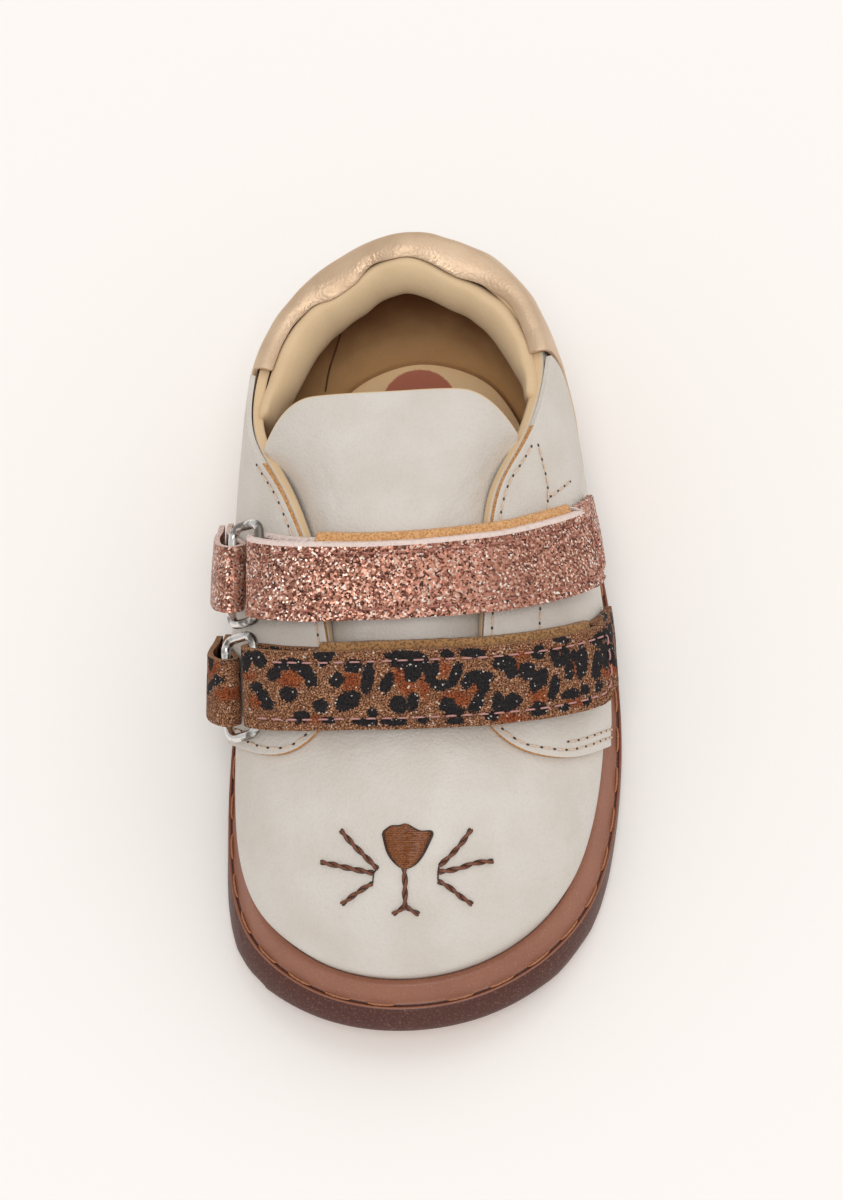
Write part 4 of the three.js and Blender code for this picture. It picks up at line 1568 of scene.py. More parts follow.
@dataclass
class Quarter:
    """Leather quarter with its facing: raw cut edges and rows of stitches."""

    side: Side
    cream: Material
    raw: Material
    photo: Photograph
    edge_margin: float = 1.5 * MM
    second_margin: float = 2.9 * MM
    second_end: float = 0.66
    trough_width: float = 0.55 * MM
    trough_depth: float = 0.12 * MM
    # Seams across the outer quarter, in pixels of the photograph.
    outer_seams: tuple[tuple[Pixel, ...], ...] = (
        ((538, 443), (547, 480), (548, 500), (546, 530), (543, 570), (540, 615), (540, 640)),
        ((550, 497), (558, 491), (571, 481)),
    )

    def build(self) -> list[Line]:
        """Builds the quarter.

        Returns:
            Its seams.
        """
        node, name, corner = self.side.value
        piece = copy_of(node, name)
        for finish in (self.raw, self.cream):
            piece.data.materials.append(finish)
        outside = 1 if self.side is Side.OUTER else -1
        sheet = Sheet(piece, lambda at, facing: facing.x * outside + at.z / MM / 1000, 1)
        sides = sheet.sides()
        facing = max(sides, key=lambda side: sum(p.z for p in side[0]) / len(side[0]))
        low = min(sides, key=lambda side: sum(p.y for p in side[0]) / len(side[0]))
        front = (facing[0] + low[0][1:], facing[1] + low[1][1:])
        if (facing[0][-1] - low[0][0]).length > 0.1 * MM:
            front = (low[0] + facing[0][1:], low[1] + facing[1][1:])
        turned = self.photo.line(Surface(piece), (corner, (corner[0], corner[1] + 2))).points[0].y
        for face in piece.data.polygons:
            if face.material_index == 0 and face.center.y > turned:
                face.material_index = 1
        keep_edges(piece, 60)
        refine(piece, 3)
        seams = self._seams(piece, front, low, turned)
        for seam in seams:
            press(piece, seam, self.trough_width, self.trough_depth)
        round_edges(piece, 0.16 * MM)
        shade(piece, 60)
        settle(piece, "cream_leather", node)
        return seams

    def _seams(self, piece: Object, front: Edge, low: Edge, turned: float) -> list[Line]:
        """Lays out the seams.

        Args:
            piece: The quarter.
            front: Its edge along the facing and the vamp.
            low: Its edge along the vamp alone.
            turned: Where the facing's raw edge ends, along the shoe.

        Returns:
            The seams.
        """
        surface = Surface(piece)
        middle = sum((v.co for v in piece.data.vertices), Vector()) / len(piece.data.vertices)
        edge = surface.inset(front, self.edge_margin, middle)
        kept = [pair for pair in zip(edge.points, edge.normals) if pair[0].y < turned]
        seams = [Line([point for point, _ in kept], [normal for _, normal in kept])]
        second = surface.inset(low, self.second_margin, middle)
        seams.append(self._part(second, 0.0, self.second_end))
        if self.side is Side.OUTER:
            seams += [self.photo.line(surface, pixels) for pixels in self.outer_seams]
        return seams

    @staticmethod
    def _part(line: Line, start: float, end: float) -> Line:
        """Takes a stretch of a line, counted from its lower end.

        Args:
            line: The line.
            start, end: Shares of its length.

        Returns:
            The stretch.
        """
        if line.points[0].z > line.points[-1].z:
            start, end = 1 - end, 1 - start
        return line.part(start * line.length, end * line.length)


@dataclass(frozen=True)
class QuarterSewing:
    """Thread and needle holes of the quarters' seams."""

    sewing: Sewing = Sewing(pitch=2.6 * MM, stitch=1.9 * MM, radius=0.17 * MM)

    def build(self, seams: Sequence[Line]) -> None:
        """Builds the stitches and the holes.

        Args:
            seams: The seams of both quarters.
        """
        thread = Thread("cream_thread", srgb(230, 208, 188), srgb(198, 168, 144)).material()
        runs = [run for seam in seams for run in self.sewing.stitches(seam)]
        settle(tubes("quarter_stitches", runs, self.sewing.radius, thread), "cream_leather")
        places = [place for seam in seams for place in self.sewing.holes(seam)]
        # Needle holes: flat dark pits whose darkness is painted shade of the holes.
        pit = Thread("shaded_needle_holes", srgb(96, 78, 66), srgb(52, 42, 38), roughness=0.9).material()
        settle(scatter("shaded_needle_holes", needle_hole(self.sewing.hole), places, pit), "cream_leather")


@dataclass(frozen=True)
class TopLine:
    """Wavy top line of the heel, seen from a point in the middle of the opening."""

    centre: tuple[float, float] = (0.2 * MM, 42 * MM)
    rim: float = 19 * MM
    fold: float = 3.4 * MM
    swell_start: float = 34 * MM
    swell_rise: float = 12 * MM
    fullness: float = 1.3 * MM
    lift: float = 0.7 * MM
    followed: float = 0.4
    # Angle from the heel, in degrees, and how far the edge goes outwards, in millimetres.
    waves: tuple[tuple[float, float], ...] = (
        (-68, 0.0),
        (-54, -0.6),
        (-42, -2.3),
        (-28, -2.0),
        (-13, -0.3),
        (0, -1.0),
        (14, -0.6),
        (34, -1.1),
        (50, 0.2),
        (62, 1.2),
        (76, 1.1),
        (90, 1.5),
    )
    # Angle from the heel, in degrees, and how far the outside swells, in millimetres.
    swelling: tuple[tuple[float, float], ...] = (
        (-60, 0.0),
        (-30, 0.5),
        (0, 0.4),
        (18, 1.4),
        (38, 2.2),
        (56, 1.6),
        (80, 0.3),
    )

    def outward(self, place: Vector) -> tuple[Vector, float, float]:
        """Direction away from the middle, distance from it, and angle from the heel."""
        away = Vector((place.x - self.centre[0], place.y - self.centre[1], 0))
        return away.normalized(), away.length, math.degrees(math.atan2(away.x, away.y))

    def folded(self, place: Vector, normal: Vector) -> Vector:
        """Shapes the counter: its rim follows the wave, its outside swells.

        Args:
            place, normal: A vertex.

        Returns:
            Its new place.
        """
        direction, distance, angle = self.outward(place)
        inner = min(1.0, max(0.0, (self.rim + self.fold - distance) / self.fold))
        high = min(1.0, max(0.0, (place.z - self.swell_start) / self.swell_rise))
        wave = between(self.waves, angle) * inner
        swell = between(self.swelling, angle) * (1 - inner) * high
        return place + direction * (wave + swell) * MM

    def filled(self, place: Vector, normal: Vector) -> Vector:
        """Shapes the roll, which fills up to the counter's rim.

        Args:
            place, normal: A vertex.

        Returns:
            Its new place.
        """
        direction, _, angle = self.outward(place)
        wave = between(self.waves, angle) * MM
        out = max(0.0, normal.dot(direction)) * self.fullness
        lift = Vector((0, 0, max(0.0, normal.z) * self.lift))
        return place + direction * (out + wave * self.followed) + lift


@dataclass
class HeelCounter:
    """Gold counter folded over the top line."""

    gold: Material
    line: TopLine = TopLine()

    def build(self) -> None:
        """Builds the counter."""
        piece = copy_of("heel_counter", "gold_counter")
        piece.data.materials.append(self.gold)
        keep_edges(piece, 65, 0.8)
        refine(piece, 2)
        reshape(piece, self.line.folded)
        roughen(piece, 0.12 * MM, 4 * MM)
        round_edges(piece, 0.16 * MM)
        shade(piece, 60)
        settle(piece, "gold_leather", "heel_counter")


@dataclass
class Padding:
    """Padded collar roll and padded tongue."""

    photo: Photograph
    cream: Material
    lining: Material
    line: TopLine = TopLine()
    # The tongue's round top corners.
    middle: float = -1.6 * MM
    straight: float = 13 * MM
    half_width: float = 23 * MM
    round_start: float = 12 * MM
    round_end: float = 30 * MM
    drop: float = 5 * MM
    down: tuple[float, float, float] = (0, 1, 0.25)
    fold_width: float = 0.7 * MM
    fold_depth: float = 0.14 * MM
    # Soft folds beside the outer facing, in pixels of the photograph.
    folds: tuple[tuple[Pixel, ...], ...] = (
        ((446, 526), (462, 515), (478, 504)),
        ((448, 514), (465, 502), (482, 491)),
        ((456, 501), (470, 490), (485, 479)),
        ((464, 488), (476, 478), (487, 468)),
        ((322, 470), (331, 488), (338, 508)),
    )

    def cornered(self, place: Vector, normal: Vector) -> Vector:
        """Rounds the tongue's top corners.

        Args:
            place, normal: A vertex.

        Returns:
            Its new place.
        """
        spare = max(0.0, abs(place.x - self.middle) - self.straight) / (self.half_width - self.straight)
        near = min(1.0, max(0.0, (place.y - self.round_start) / (self.round_end - self.round_start)))
        return place - Vector(self.down) * self.drop * min(1.0, spare) ** 2 * near

    def build(self) -> None:
        """Builds both padded pieces."""
        roll = copy_of("collar_padding", "collar_roll")
        roll.data.materials.append(self.lining)
        refine(roll, 2)
        reshape(roll, self.line.filled)
        roughen(roll, 0.3 * MM, 7 * MM)
        shade(roll)
        settle(roll, "beige_lining", "collar_padding")
        tongue = copy_of("tongue", "padded_tongue")
        for finish in (self.cream, self.lining):
            tongue.data.materials.append(finish)
        Sheet(tongue, lambda at, facing: -facing.z, 1)
        keep_edges(tongue, 60, 0.4)
        refine(tongue, 3)
        reshape(tongue, self.cornered)
        surface = Surface(tongue)
        for fold in self.folds:
            press(tongue, self.photo.line(surface, fold), self.fold_width, self.fold_depth)
        roughen(tongue, 0.12 * MM, 9 * MM)
        shade(tongue, 60)
        settle(tongue, "cream_leather", "tongue")


@dataclass(frozen=True)
class Spot:
    """A charted mark of the leopard pattern, in pixels of the photograph."""

    x: float
    y: float
    long: float
    short: float
    turn: float = 0.0


# Dark marks of the pattern from the ring to the free end: middle, half axes and turn in degrees.
DARK_SPOTS = (
    Spot(246, 662, 11, 4.8, 100),
    Spot(258, 659, 10, 6.5, 60),
    Spot(243, 642, 4.5, 4),
    Spot(274, 674, 8, 5.6, -50),
    Spot(283, 665, 9, 6, -15),
    Spot(296, 664, 10, 6.4, 8),
    Spot(306, 672, 8, 6),
    Spot(311, 680, 8.5, 6, 80),
    Spot(289, 694, 8.8, 8),
    Spot(256, 687, 6, 5.4),
    Spot(263, 696, 8, 5.6, 50),
    Spot(268, 704, 7, 6),
    Spot(324, 655, 11, 6.2),
    Spot(323, 662, 6, 4),
    Spot(337, 680, 7.6, 7.6),
    Spot(353, 666, 9, 7.2, -10),
    Spot(368, 678, 16.5, 6.2, 98),
    Spot(348, 701, 14.5, 9, -35),
    Spot(321, 706, 8, 7.4, 20),
    Spot(301, 717, 8.5, 6, -15),
    Spot(328, 720, 7, 3.6),
    Spot(365, 722, 14.5, 4),
    Spot(372, 713, 5, 5),
    Spot(405, 656, 21, 5),
    Spot(409, 663, 19, 6),
    Spot(413, 673, 9.5, 8.4, -40),
    Spot(387, 683, 11, 6.2, -68),
    Spot(399, 705, 9.5, 8.8),
    Spot(413, 702, 9.5, 6, 90),
    Spot(394, 722, 13.5, 3.8),
    Spot(423, 720, 5.5, 4.2),
    Spot(426, 666, 9, 4.6, 90),
    Spot(432, 673, 12, 5.8, -66),
    Spot(441, 685, 11, 5.8, -5),
    Spot(455, 675, 13, 5.8, -68),
    Spot(447, 654, 7, 4),
    Spot(473, 653, 13.5, 4.6),
    Spot(479, 677, 15.5, 6.8),
    Spot(466, 684, 6, 5.4),
    Spot(484, 688, 9, 5.4, -65),
    Spot(477, 703, 11.5, 6.4, -60),
    Spot(447, 705, 8, 7.6),
    Spot(455, 711, 10, 5.4),
    Spot(454, 721, 9, 3.2),
    Spot(492, 716, 7.5, 4.4),
    Spot(498, 703, 11.5, 6.4, 95),
    Spot(505, 707, 8, 4.6),
    Spot(513, 701, 9, 7.6),
    Spot(504, 663, 12, 8),
    Spot(511, 672, 7, 6.4, 60),
    Spot(527, 671, 8.5, 9),
    Spot(539, 680, 13.5, 7.4, -59),
    Spot(538, 652, 7, 7.8),
    Spot(554, 688, 13.5, 5.2, 101),
    Spot(555, 656, 8.4, 4.8, 80),
    Spot(565, 653, 8, 4.4, 95),
    Spot(560, 662, 7, 5),
    Spot(563, 640, 8, 3.4),
    Spot(582, 662, 17.5, 5.6, 93),
    Spot(569, 670, 11.5, 4.4, 93),
    Spot(574, 656, 5, 5.4),
    Spot(597, 639, 8, 5.4, 90),
    Spot(597, 665, 15, 4.8, 95),
    Spot(605, 656, 12.5, 4.2, 80),
    Spot(571, 694, 10, 5, -12),
    Spot(585, 689, 5, 5.4),
    Spot(538, 709, 8.6, 7.4),
    Spot(564, 707, 5.6, 4.4),
    Spot(587, 701, 3.8, 4.8),
    Spot(599, 686, 6.4, 3.8, -70),
)
RUST_SPOTS = (
    Spot(290, 679, 12, 9),
    Spot(351, 681, 13, 9, 90),
    Spot(399, 675, 8, 8),
    Spot(408, 687, 9, 8),
    Spot(258, 701, 9, 6),
    Spot(250, 676, 5, 4),
    Spot(314, 719, 8, 4),
    Spot(444, 669, 8, 6, 90),
    Spot(455, 699, 15, 8),
    Spot(476, 690, 8, 5),
    Spot(424, 687, 5, 12),
    Spot(518, 668, 6, 6),
    Spot(522, 655, 6, 4),
    Spot(539, 696, 9, 8),
    Spot(560, 650, 6, 5),
    Spot(575, 667, 3.6, 8),
    Spot(510, 718, 15, 4),
    Spot(574, 702, 9, 4),
    Spot(607, 668, 4, 10),
)


@dataclass(frozen=True)
class StrapPlane:
    """Plane of a strap's middle, and the axis that it bends round."""

    middle: tuple[float, float, float]
    turn: float
    slope: float
    depth: float = 30 * MM

    def frame(self) -> tuple[Vector, Vector, Vector]:
        """Works out how the strap lies.

        Returns:
            Directions across the foot, up from the axis, and along the strap's width.
        """
        up = Vector((0, -math.sin(self.slope), math.cos(self.slope)))
        level = Vector((math.cos(self.turn), math.sin(self.turn), 0))
        width = level.cross(up).normalized()
        return up.cross(width), up, width

    def axis(self) -> Vector:
        """Point of the axis under the strap's middle."""
        return Vector(self.middle) - self.frame()[1] * self.depth

    def flat(self, point: Vector) -> tuple[float, float]:
        """Finds a point on the strap laid flat.

        Args:
            point: The point.

        Returns:
            Angle round the axis, in degrees, and place across the width.
        """
        across, up, width = self.frame()
        away = point - self.axis()
        return math.degrees(math.atan2(away.dot(across), away.dot(up))), away.dot(width)

    def over(self, surface: Surface, degrees: float, beside: float) -> tuple[Vector, Vector] | None:
        """Finds the outermost place of a surface.

        Args:
            surface: The surface.
            degrees: Angle round the axis.
            beside: Place across the width.

        Returns:
            The place and its normal, or nothing.
        """
        across, up, width = self.frame()
        angle = math.radians(degrees)
        outward = across * math.sin(angle) + up * math.cos(angle)
        return surface.struck(self.axis() + width * beside + outward * 90 * MM, -outward)


class Level(Enum):
    """The two straps, by the word that their nodes' names end with."""

    UPPER = "upper"
    LOWER = "lower"


@dataclass
class Strap:
    """Folded strap with its tape, ring and ring tab."""

    level: Level
    plane: StrapPlane
    face: Material
    edge: Material
    tape: Material
    thread: Material
    slot: str
    ring_angle: float
    free_angle: float
    free_lean: float
    half_width: float = 6.3 * MM
    margin: float = 1.75 * MM
    sewing: Sewing = Sewing(pitch=2.75 * MM, stitch=1.75 * MM, radius=0.17 * MM)
    bulk: float = 33 * MM
    toe_corner: float = 5.0 * MM
    heel_corner: float = 1.8 * MM
    end_run: float = 18.0
    layer: float = 1.45 * MM
    trough_width: float = 0.55 * MM
    trough_depth: float = 0.28 * MM
    rounding: float = 0.18 * MM
    ring_gap: float = 6.0
    run_steps: int = 60
    end_steps: int = 24
    piece: Object = field(init=False)
    tab: Object = field(init=False)

    def build(self, nickel: Material) -> None:
        """Builds the strap and what goes with it.

        Args:
            nickel: Finish of the ring.
        """
        strap_node = f"strap_{self.level.value}"
        tab_node = f"ring_tab_{self.level.value}"
        self.piece = self._band(strap_node, f"{self.slot}_strap")
        self._round_end()
        for face in self.piece.data.polygons:
            angle, beside = self.plane.flat(face.center)
            if face.material_index == 0 and angle > self._end(beside) + 1:
                face.material_index = 1
        self.tab = self._band(tab_node, f"{self.slot}_tab")
        seam = self._edge_seam(Surface(self.piece))
        press(self.piece, seam, self.trough_width, self.trough_depth)
        store(self.piece, "from_edge", self._from_edge)
        store(self.tab, "from_edge", lambda place: self.half_width)
        for band, node in ((self.piece, strap_node), (self.tab, tab_node)):
            round_edges(band, self.rounding)
            shade(band, 60)
            settle(band, self.slot, node)
        runs = self.sewing.stitches(seam)
        settle(tubes(f"{self.slot}_stitches", runs, self.sewing.radius, self.thread), self.slot)
        self._build_tape()
        self._build_ring(nickel)

    def _build_tape(self) -> None:
        """Builds the hook-and-loop tape between the layers."""
        node = f"closure_{self.level.value}"
        tape = copy_of(node, f"loop_tape_{self.level.value}")
        tape.data.materials.append(self.tape)
        keep_edges(tape, 60)
        refine(tape, 3)
        roughen(tape, 0.12 * MM, 0.8 * MM)
        shade(tape, 60)
        settle(tape, "hook_and_loop", node)

    def _build_ring(self, nickel: Material) -> None:
        """Builds the ring.

        Args:
            nickel: Its finish.
        """
        node = f"ring_{self.level.value}"
        ring = copy_of(node, f"oval_{node}")
        ring.data.materials.append(nickel)
        refine(ring, 2)
        shade(ring)
        settle(ring, "polished_metal", node)

    def _band(self, node: str, name: str) -> Object:
        """Makes a folded band with its faces and its cut edges dressed.

        Args:
            node: Node of the frame.
            name: The new piece's name.

        Returns:
            The band.
        """
        band = copy_of(node, name)
        for finish in (self.edge, self.face):
            band.data.materials.append(finish)
        middle = self.plane.axis()
        Sheet(band, lambda at, facing: facing.dot(at - middle) + at.z, 1)
        Sheet(band, lambda at, facing: -facing.dot(at - middle) - at.z, 1)
        keep_edges(band, 62)
        refine(band, 3)
        roughen(band, 0.12 * MM, 5 * MM)
        return band

    def _short(self, beside: float, inside: float = 0.0) -> float:
        """How far the rounded free end falls short of its middle.

        Args:
            beside: Place across the width.
            inside: Distance from the strap's edge.

        Returns:
            The missing length.
        """
        corner = self.toe_corner if beside > 0 else self.heel_corner
        radius = max(corner - inside, 0.4 * MM)
        spare = abs(beside) - (self.half_width - inside - radius)
        share = min(1.0, max(0.0, spare / radius))
        return radius * (1 - math.sqrt(1 - share * share))

    def _end(self, beside: float) -> float:
        """Angle of the free end at a place across the width."""
        return self.free_angle + self.free_lean / 2 * beside / self.half_width

    def _from_edge(self, place: Vector) -> float:
        """Distance from the pale heelward edge, which ends with the outer layer.

        Args:
            place: A place on the strap.

        Returns:
            The distance, or half the width past the free end.
        """
        angle, beside = self.plane.flat(place)
        if angle > self._end(beside) + 1:
            return self.half_width
        return self.half_width + beside

    def _round_end(self) -> None:
        """Rounds the corners of the free end, in the outer layer alone."""
        surface = Surface(self.piece)
        across, up, width = self.plane.frame()

        def radius_at(angle: float, beside: float) -> float | None:
            """Distance of the outermost layer from the axis.

            Args:
                angle: Angle round the axis, in degrees.
                beside: Place across the width.

            Returns:
                The distance, or nothing.
            """
            found = self.plane.over(surface, angle, beside * 0.94)
            if found is None:
                return None
            away = found[0] - self.plane.axis()
            return math.hypot(away.dot(across), away.dot(up))

        def moved(place: Vector, normal: Vector) -> Vector:
            """Draws a vertex of the outer layer back from the corners.

            Args:
                place, normal: The vertex.

            Returns:
                Its new place.
            """
            angle, beside = self.plane.flat(place)
            end = self._end(beside)
            share = min(1.0, (angle - end + self.end_run) / self.end_run)
            short = self._short(beside)
            if share <= 0 or short == 0 or angle > end + 2:
                return place
            away = place - self.plane.axis()
            radius = math.hypot(away.dot(across), away.dot(up))
            outer = radius_at(min(angle, end - 1.5), beside)
            if outer is None or outer - radius > self.layer:
                return place
            turned = angle - math.degrees(short / self.bulk) * share
            inner = radius_at(turned, beside)
            radius += 0 if inner is None else inner - outer
            outward = across * math.sin(math.radians(turned)) + up * math.cos(math.radians(turned))
            return self.plane.axis() + width * beside + outward * radius

        reshape(self.piece, moved)

    def _edge_seam(self, surface: Surface) -> Line:
        """Lays out the seam along both edges and round the free end.

        Args:
            surface: The strap.

        Returns:
            The seam.
        """
        inner = self.half_width - self.margin
        heelward = self._edge_run(-inner)
        toeward = self._edge_run(inner)
        places = list(heelward)
        for k in range(1, self.end_steps):
            beside = -inner * math.cos(math.pi * k / self.end_steps)
            missing = self.margin + self._short(beside, self.margin)
            places.append((self._end(beside) - math.degrees(missing / self.bulk), beside))
        places += toeward[::-1]
        found = [self.plane.over(surface, angle, beside) for angle, beside in places]
        kept = [place for place in found if place is not None]
        return Line([p for p, _ in kept], [n for _, n in kept])

    def _edge_run(self, beside: float) -> list[tuple[float, float]]:
        """Lays out the straight part of the seam.

        Args:
            beside: Its place across the width.

        Returns:
            Angle and place across the width of each point, from the ring to the free end.
        """
        start = self.ring_angle + self.ring_gap
        stop = self._end(beside) - math.degrees(self.toe_corner / self.bulk)
        shares = [k / self.run_steps for k in range(self.run_steps + 1)]
        return [(start + (stop - start) * share, beside) for share in shares]


@dataclass
class Leopard:
    """Chart of the leopard pattern, laid on the lower strap and its tab."""

    photo: Photograph
    strap: Strap
    step: float = 1.5
    surface: Surface = field(init=False)

    def __post_init__(self) -> None:
        """Reads the strap's surface."""
        self.surface = Surface(self.strap.piece)

    def _place(self, x: float, y: float) -> Vector | None:
        """Finds a pixel on the strap laid flat.

        Args:
            x, y: The pixel.

        Returns:
            Place along and across, or nothing.
        """
        found = self.photo.on(self.surface, x, y)
        if found is None:
            return None
        angle, beside = self.strap.plane.flat(found[0])
        return Vector((math.radians(angle) * self.strap.bulk, beside))

    def _chart(self, spots: Sequence[Spot]) -> list[tuple[Vector, Matrix, float]]:
        """Turns spots into places on the flat strap.

        Args:
            spots: The spots.

        Returns:
            Middle, matrix to units of the spot's half axes, and its mean half width.
        """
        charted = []
        for spot in spots:
            middle = self._place(spot.x, spot.y)
            right = self._place(spot.x + self.step, spot.y)
            down = self._place(spot.x, spot.y + self.step)
            if middle is None or right is None or down is None:
                continue
            slopes = Matrix(((right - middle) / self.step, (down - middle) / self.step)).transposed()
            turn = math.radians(spot.turn)
            axes = Matrix(
                (
                    (math.cos(turn) * spot.long, -math.sin(turn) * spot.short),
                    (math.sin(turn) * spot.long, math.cos(turn) * spot.short),
                )
            )
            whole = slopes @ axes
            if abs(whole.determinant()) > 1e-12:
                charted.append((middle, whole.inverted(), math.sqrt(abs(whole.determinant()))))
        return charted

    def lay(self, piece: Object) -> None:
        """Stores the distance to the nearest dark spot and the nearest rust centre.

        Args:
            piece: The strap or its tab.
        """
        for name, spots in (("dark_spots", DARK_SPOTS), ("rust_centres", RUST_SPOTS)):
            charted = self._chart(spots)
            first = min(middle.x for middle, _, _ in charted) - 1 * MM
            last = max(middle.x for middle, _, _ in charted) + 1 * MM

            def nearest(place: Vector) -> float:
                """Distance to the nearest spot's rim, with the chart mirrored past its ends.

                Args:
                    place: A place on the piece.

                Returns:
                    The distance, less than nothing inside a spot.
                """
                angle, beside = self.strap.plane.flat(place)
                along = math.radians(angle) * self.strap.bulk
                if along < first:
                    along = 2 * first - along
                elif along > last:
                    along = 2 * last - along
                here = Vector((along, beside))
                return min(
                    ((inverse @ (here - middle)).length - 1) * size
                    for middle, inverse, size in charted
                )

            store(piece, name, nearest)


@dataclass
class Embroidery:
    """Nose, whiskers and mouth of an animal's face on the toe."""

    photo: Photograph
    vamp: Surface
    strand: float = 0.3 * MM
    twist: float = 4.8 * MM
    thin: float = 0.13 * MM
    lines: tuple[tuple[Pixel, ...], ...] = (
        ((341, 830), (352, 843), (366, 857), (378, 869)),
        ((321, 862), (340, 866), (358, 870), (374, 873)),
        ((342, 904), (354, 895), (364, 888), (373, 883)),
        ((471, 829), (463, 841), (451, 855), (439, 866)),
        ((493, 861), (475, 863), (456, 869), (438, 872)),
        ((472, 904), (460, 896), (449, 887), (438, 881)),
        ((404, 866), (405, 880), (405, 894), (405, 907)),
        ((393, 914), (399, 910), (405, 906)),
        ((419, 914), (412, 910), (405, 906)),
    )
    links: tuple[tuple[Pixel, ...], ...] = (
        ((378, 869), (374, 873), (373, 883)),
        ((439, 866), (438, 872), (438, 881)),
    )
    nose: tuple[Pixel, ...] = (
        (383, 833),
        (391, 827),
        (399, 826.5),
        (406, 825),
        (414, 829),
        (421, 832),
        (432, 832.5),
        (428, 844),
        (421, 857),
        (413, 865),
        (404, 867.5),
        (396, 863),
        (388, 852),
    )
    rows: int = 24
    seed: int = 4

    def build(self) -> None:
        """Builds the embroidery."""
        brown = Thread(
            "brown_thread", srgb(138, 78, 46), srgb(84, 42, 24), roughness=0.45, shade="raised"
        ).material()
        strands = [run for pixels in self.lines for run in self._rope(pixels)]
        face = tubes("whiskers_and_mouth", strands, self.strand, brown)
        self._store_height(face, 0.22 * MM, 0.66 * MM)
        settle(face, "cream_leather")
        links = [self._raised(pixels, self.thin) for pixels in self.links]
        dark = Thread("dark_thread", srgb(62, 32, 20), srgb(34, 16, 10)).material()
        settle(tubes("whisker_links", links, self.thin, dark), "cream_leather")
        # Dark cord round the nose: partly its dark outline thread, partly painted shadow at its edge.
        border = self._raised((*self.nose, self.nose[0]), 0.16 * MM)
        settle(tubes("nose_outline_and_shadow", [border], 0.26 * MM, dark), "cream_leather")
        satin = Thread(
            "satin_thread", srgb(150, 86, 36), srgb(84, 42, 16), roughness=0.34, shade="raised"
        ).material()
        nose = tubes("nose_satin", self._satin(), 0.24 * MM, satin)
        self._store_height(nose, -0.1 * MM, 0.35 * MM)
        settle(nose, "cream_leather")

    def _raised(self, pixels: Sequence[Pixel], height: float) -> list[Vector]:
        """Points over the vamp along pixels."""
        line = self.photo.line(self.vamp, pixels, 2.0)
        return [p + n * height for p, n in zip(line.points, line.normals)]

    def _rope(self, pixels: Sequence[Pixel]) -> list[list[Vector]]:
        """Twists two strands round a line.

        Args:
            pixels: The line.

        Returns:
            Points of each strand.
        """
        line = self.photo.line(self.vamp, pixels)
        count = max(8, round(line.length / (0.3 * MM)))
        strands: list[list[Vector]] = [[], []]
        for k in range(count + 1):
            point, along, normal = line.at(line.length * k / count)
            side = normal.cross(along).normalized()
            turn = 2 * math.pi * line.length * k / count / self.twist
            for index, strand in enumerate(strands):
                phase = turn + index * math.pi
                away = side * math.cos(phase) + normal * math.sin(phase)
                strand.append(point + normal * self.strand * 0.8 + away * self.strand * 0.75)
        return strands

    def _satin(self) -> list[list[Vector]]:
        """Fills the nose with rows of thread side by side.

        Returns:
            Points of each row.
        """
        chance = random.Random(self.seed)
        outline = through([Vector((x, y, 0)) for x, y in (*self.nose, self.nose[0])], 1.0)
        top = min(p.y for p in outline)
        low = max(p.y for p in outline)
        runs = []
        for row in range(self.rows):
            y = top + (low - top) * (row + 0.5) / self.rows
            crossings = sorted(
                a.x + (b.x - a.x) * (y - a.y) / (b.y - a.y)
                for a, b in zip(outline, outline[1:])
                if (a.y - y) * (b.y - y) < 0
            )
            if len(crossings) < 2:
                continue
            left = crossings[0] - chance.uniform(0, 1.2)
            right = crossings[-1] + chance.uniform(0, 1.2)
            run = []
            for k in range(9):
                share = k / 8
                lean = chance.uniform(-0.25, 0.25)
                found = self.photo.on(self.vamp, left + (right - left) * share, y + lean)
                dome = 1 - abs(2 * share - 1) ** 4
                run.append(found[0] + found[1] * (0.1 + 0.4 * dome) * MM)
            runs.append(run)
        return runs

    def _store_height(self, piece: Object, low: float, high: float) -> None:
        """Stores how far each vertex stands over the vamp.

        Args:
            piece: The piece.
            low: Height that is stored as 0.
            high: Height that is stored as 1.
        """

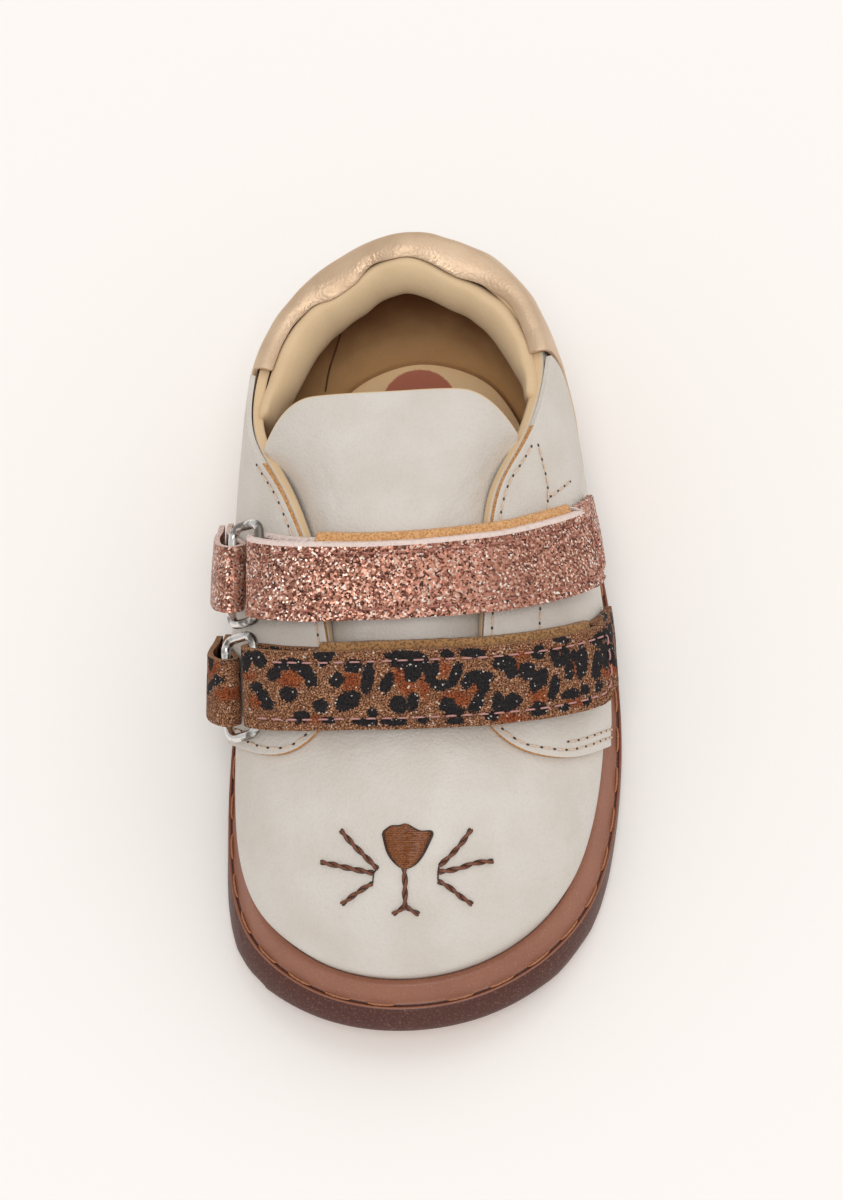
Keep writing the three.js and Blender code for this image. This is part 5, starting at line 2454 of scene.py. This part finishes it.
        def share(place: Vector) -> float:
            """Share of the height at a place, from 0 to 1."""
            under, normal = self.vamp.nearest(place)
            return min(1.0, max(0.0, ((place - under).dot(normal) - low) / (high - low)))

        store(piece, "raised", share)


def main() -> None:
    """Builds the shoe piece by piece."""
    logging.basicConfig(level=logging.INFO, format="%(name)s %(message)s")
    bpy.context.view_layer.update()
    photo = Photograph()
    photo.add_camera()
    Studio().build()
    cream = SmoothLeather().material()
    lining = SoftLining().material()
    raw = RawEdge().material()
    Sole().build()
    vamp = Shell(photo, cream, InnerLining().material(), lining).build()
    seams: list[Line] = []
    for side in Side:
        seams += Quarter(side, cream, raw, photo).build()
    QuarterSewing().build(seams)
    HeelCounter(GoldLeather().material()).build()
    Padding(photo, cream, lining).build()
    nickel = PolishedNickel().material()
    Strap(
        level=Level.UPPER,
        plane=StrapPlane((3.18 * MM, -3.76 * MM, 51.0 * MM), 0.0, math.radians(40)),
        face=Glitter().material(),
        edge=RawEdge("backing_edge", srgb(236, 216, 208), srgb(196, 158, 148)).material(),
        tape=PileTape("tan_tape", srgb(222, 172, 118), srgb(176, 118, 66)).material(),
        thread=Thread("rose_thread", srgb(188, 126, 110), srgb(150, 88, 76)).material(),
        slot="rose_glitter",
        ring_angle=-53.0,
        free_angle=71.0,
        free_lean=-4.0,
    ).build(nickel)
    lower = Strap(
        level=Level.LOWER,
        plane=StrapPlane((2.48 * MM, -21.10 * MM, 43.99 * MM), math.radians(-1), math.radians(38)),
        face=LeopardSuede().material(),
        edge=RawEdge("suede_edge", srgb(176, 128, 88), srgb(112, 74, 48)).material(),
        tape=PileTape("brown_tape", srgb(166, 122, 76), srgb(78, 52, 30)).material(),
        thread=Thread("mauve_thread", srgb(200, 152, 146), srgb(160, 110, 106)).material(),
        slot="leopard_glitter",
        ring_angle=-50.0,
        free_angle=66.0,
        free_lean=-6.0,
    )
    lower.build(nickel)
    chart = Leopard(photo, lower)
    chart.lay(lower.piece)
    chart.lay(lower.tab)
    Embroidery(photo, vamp).build()


if __name__ == "__main__":
    main()
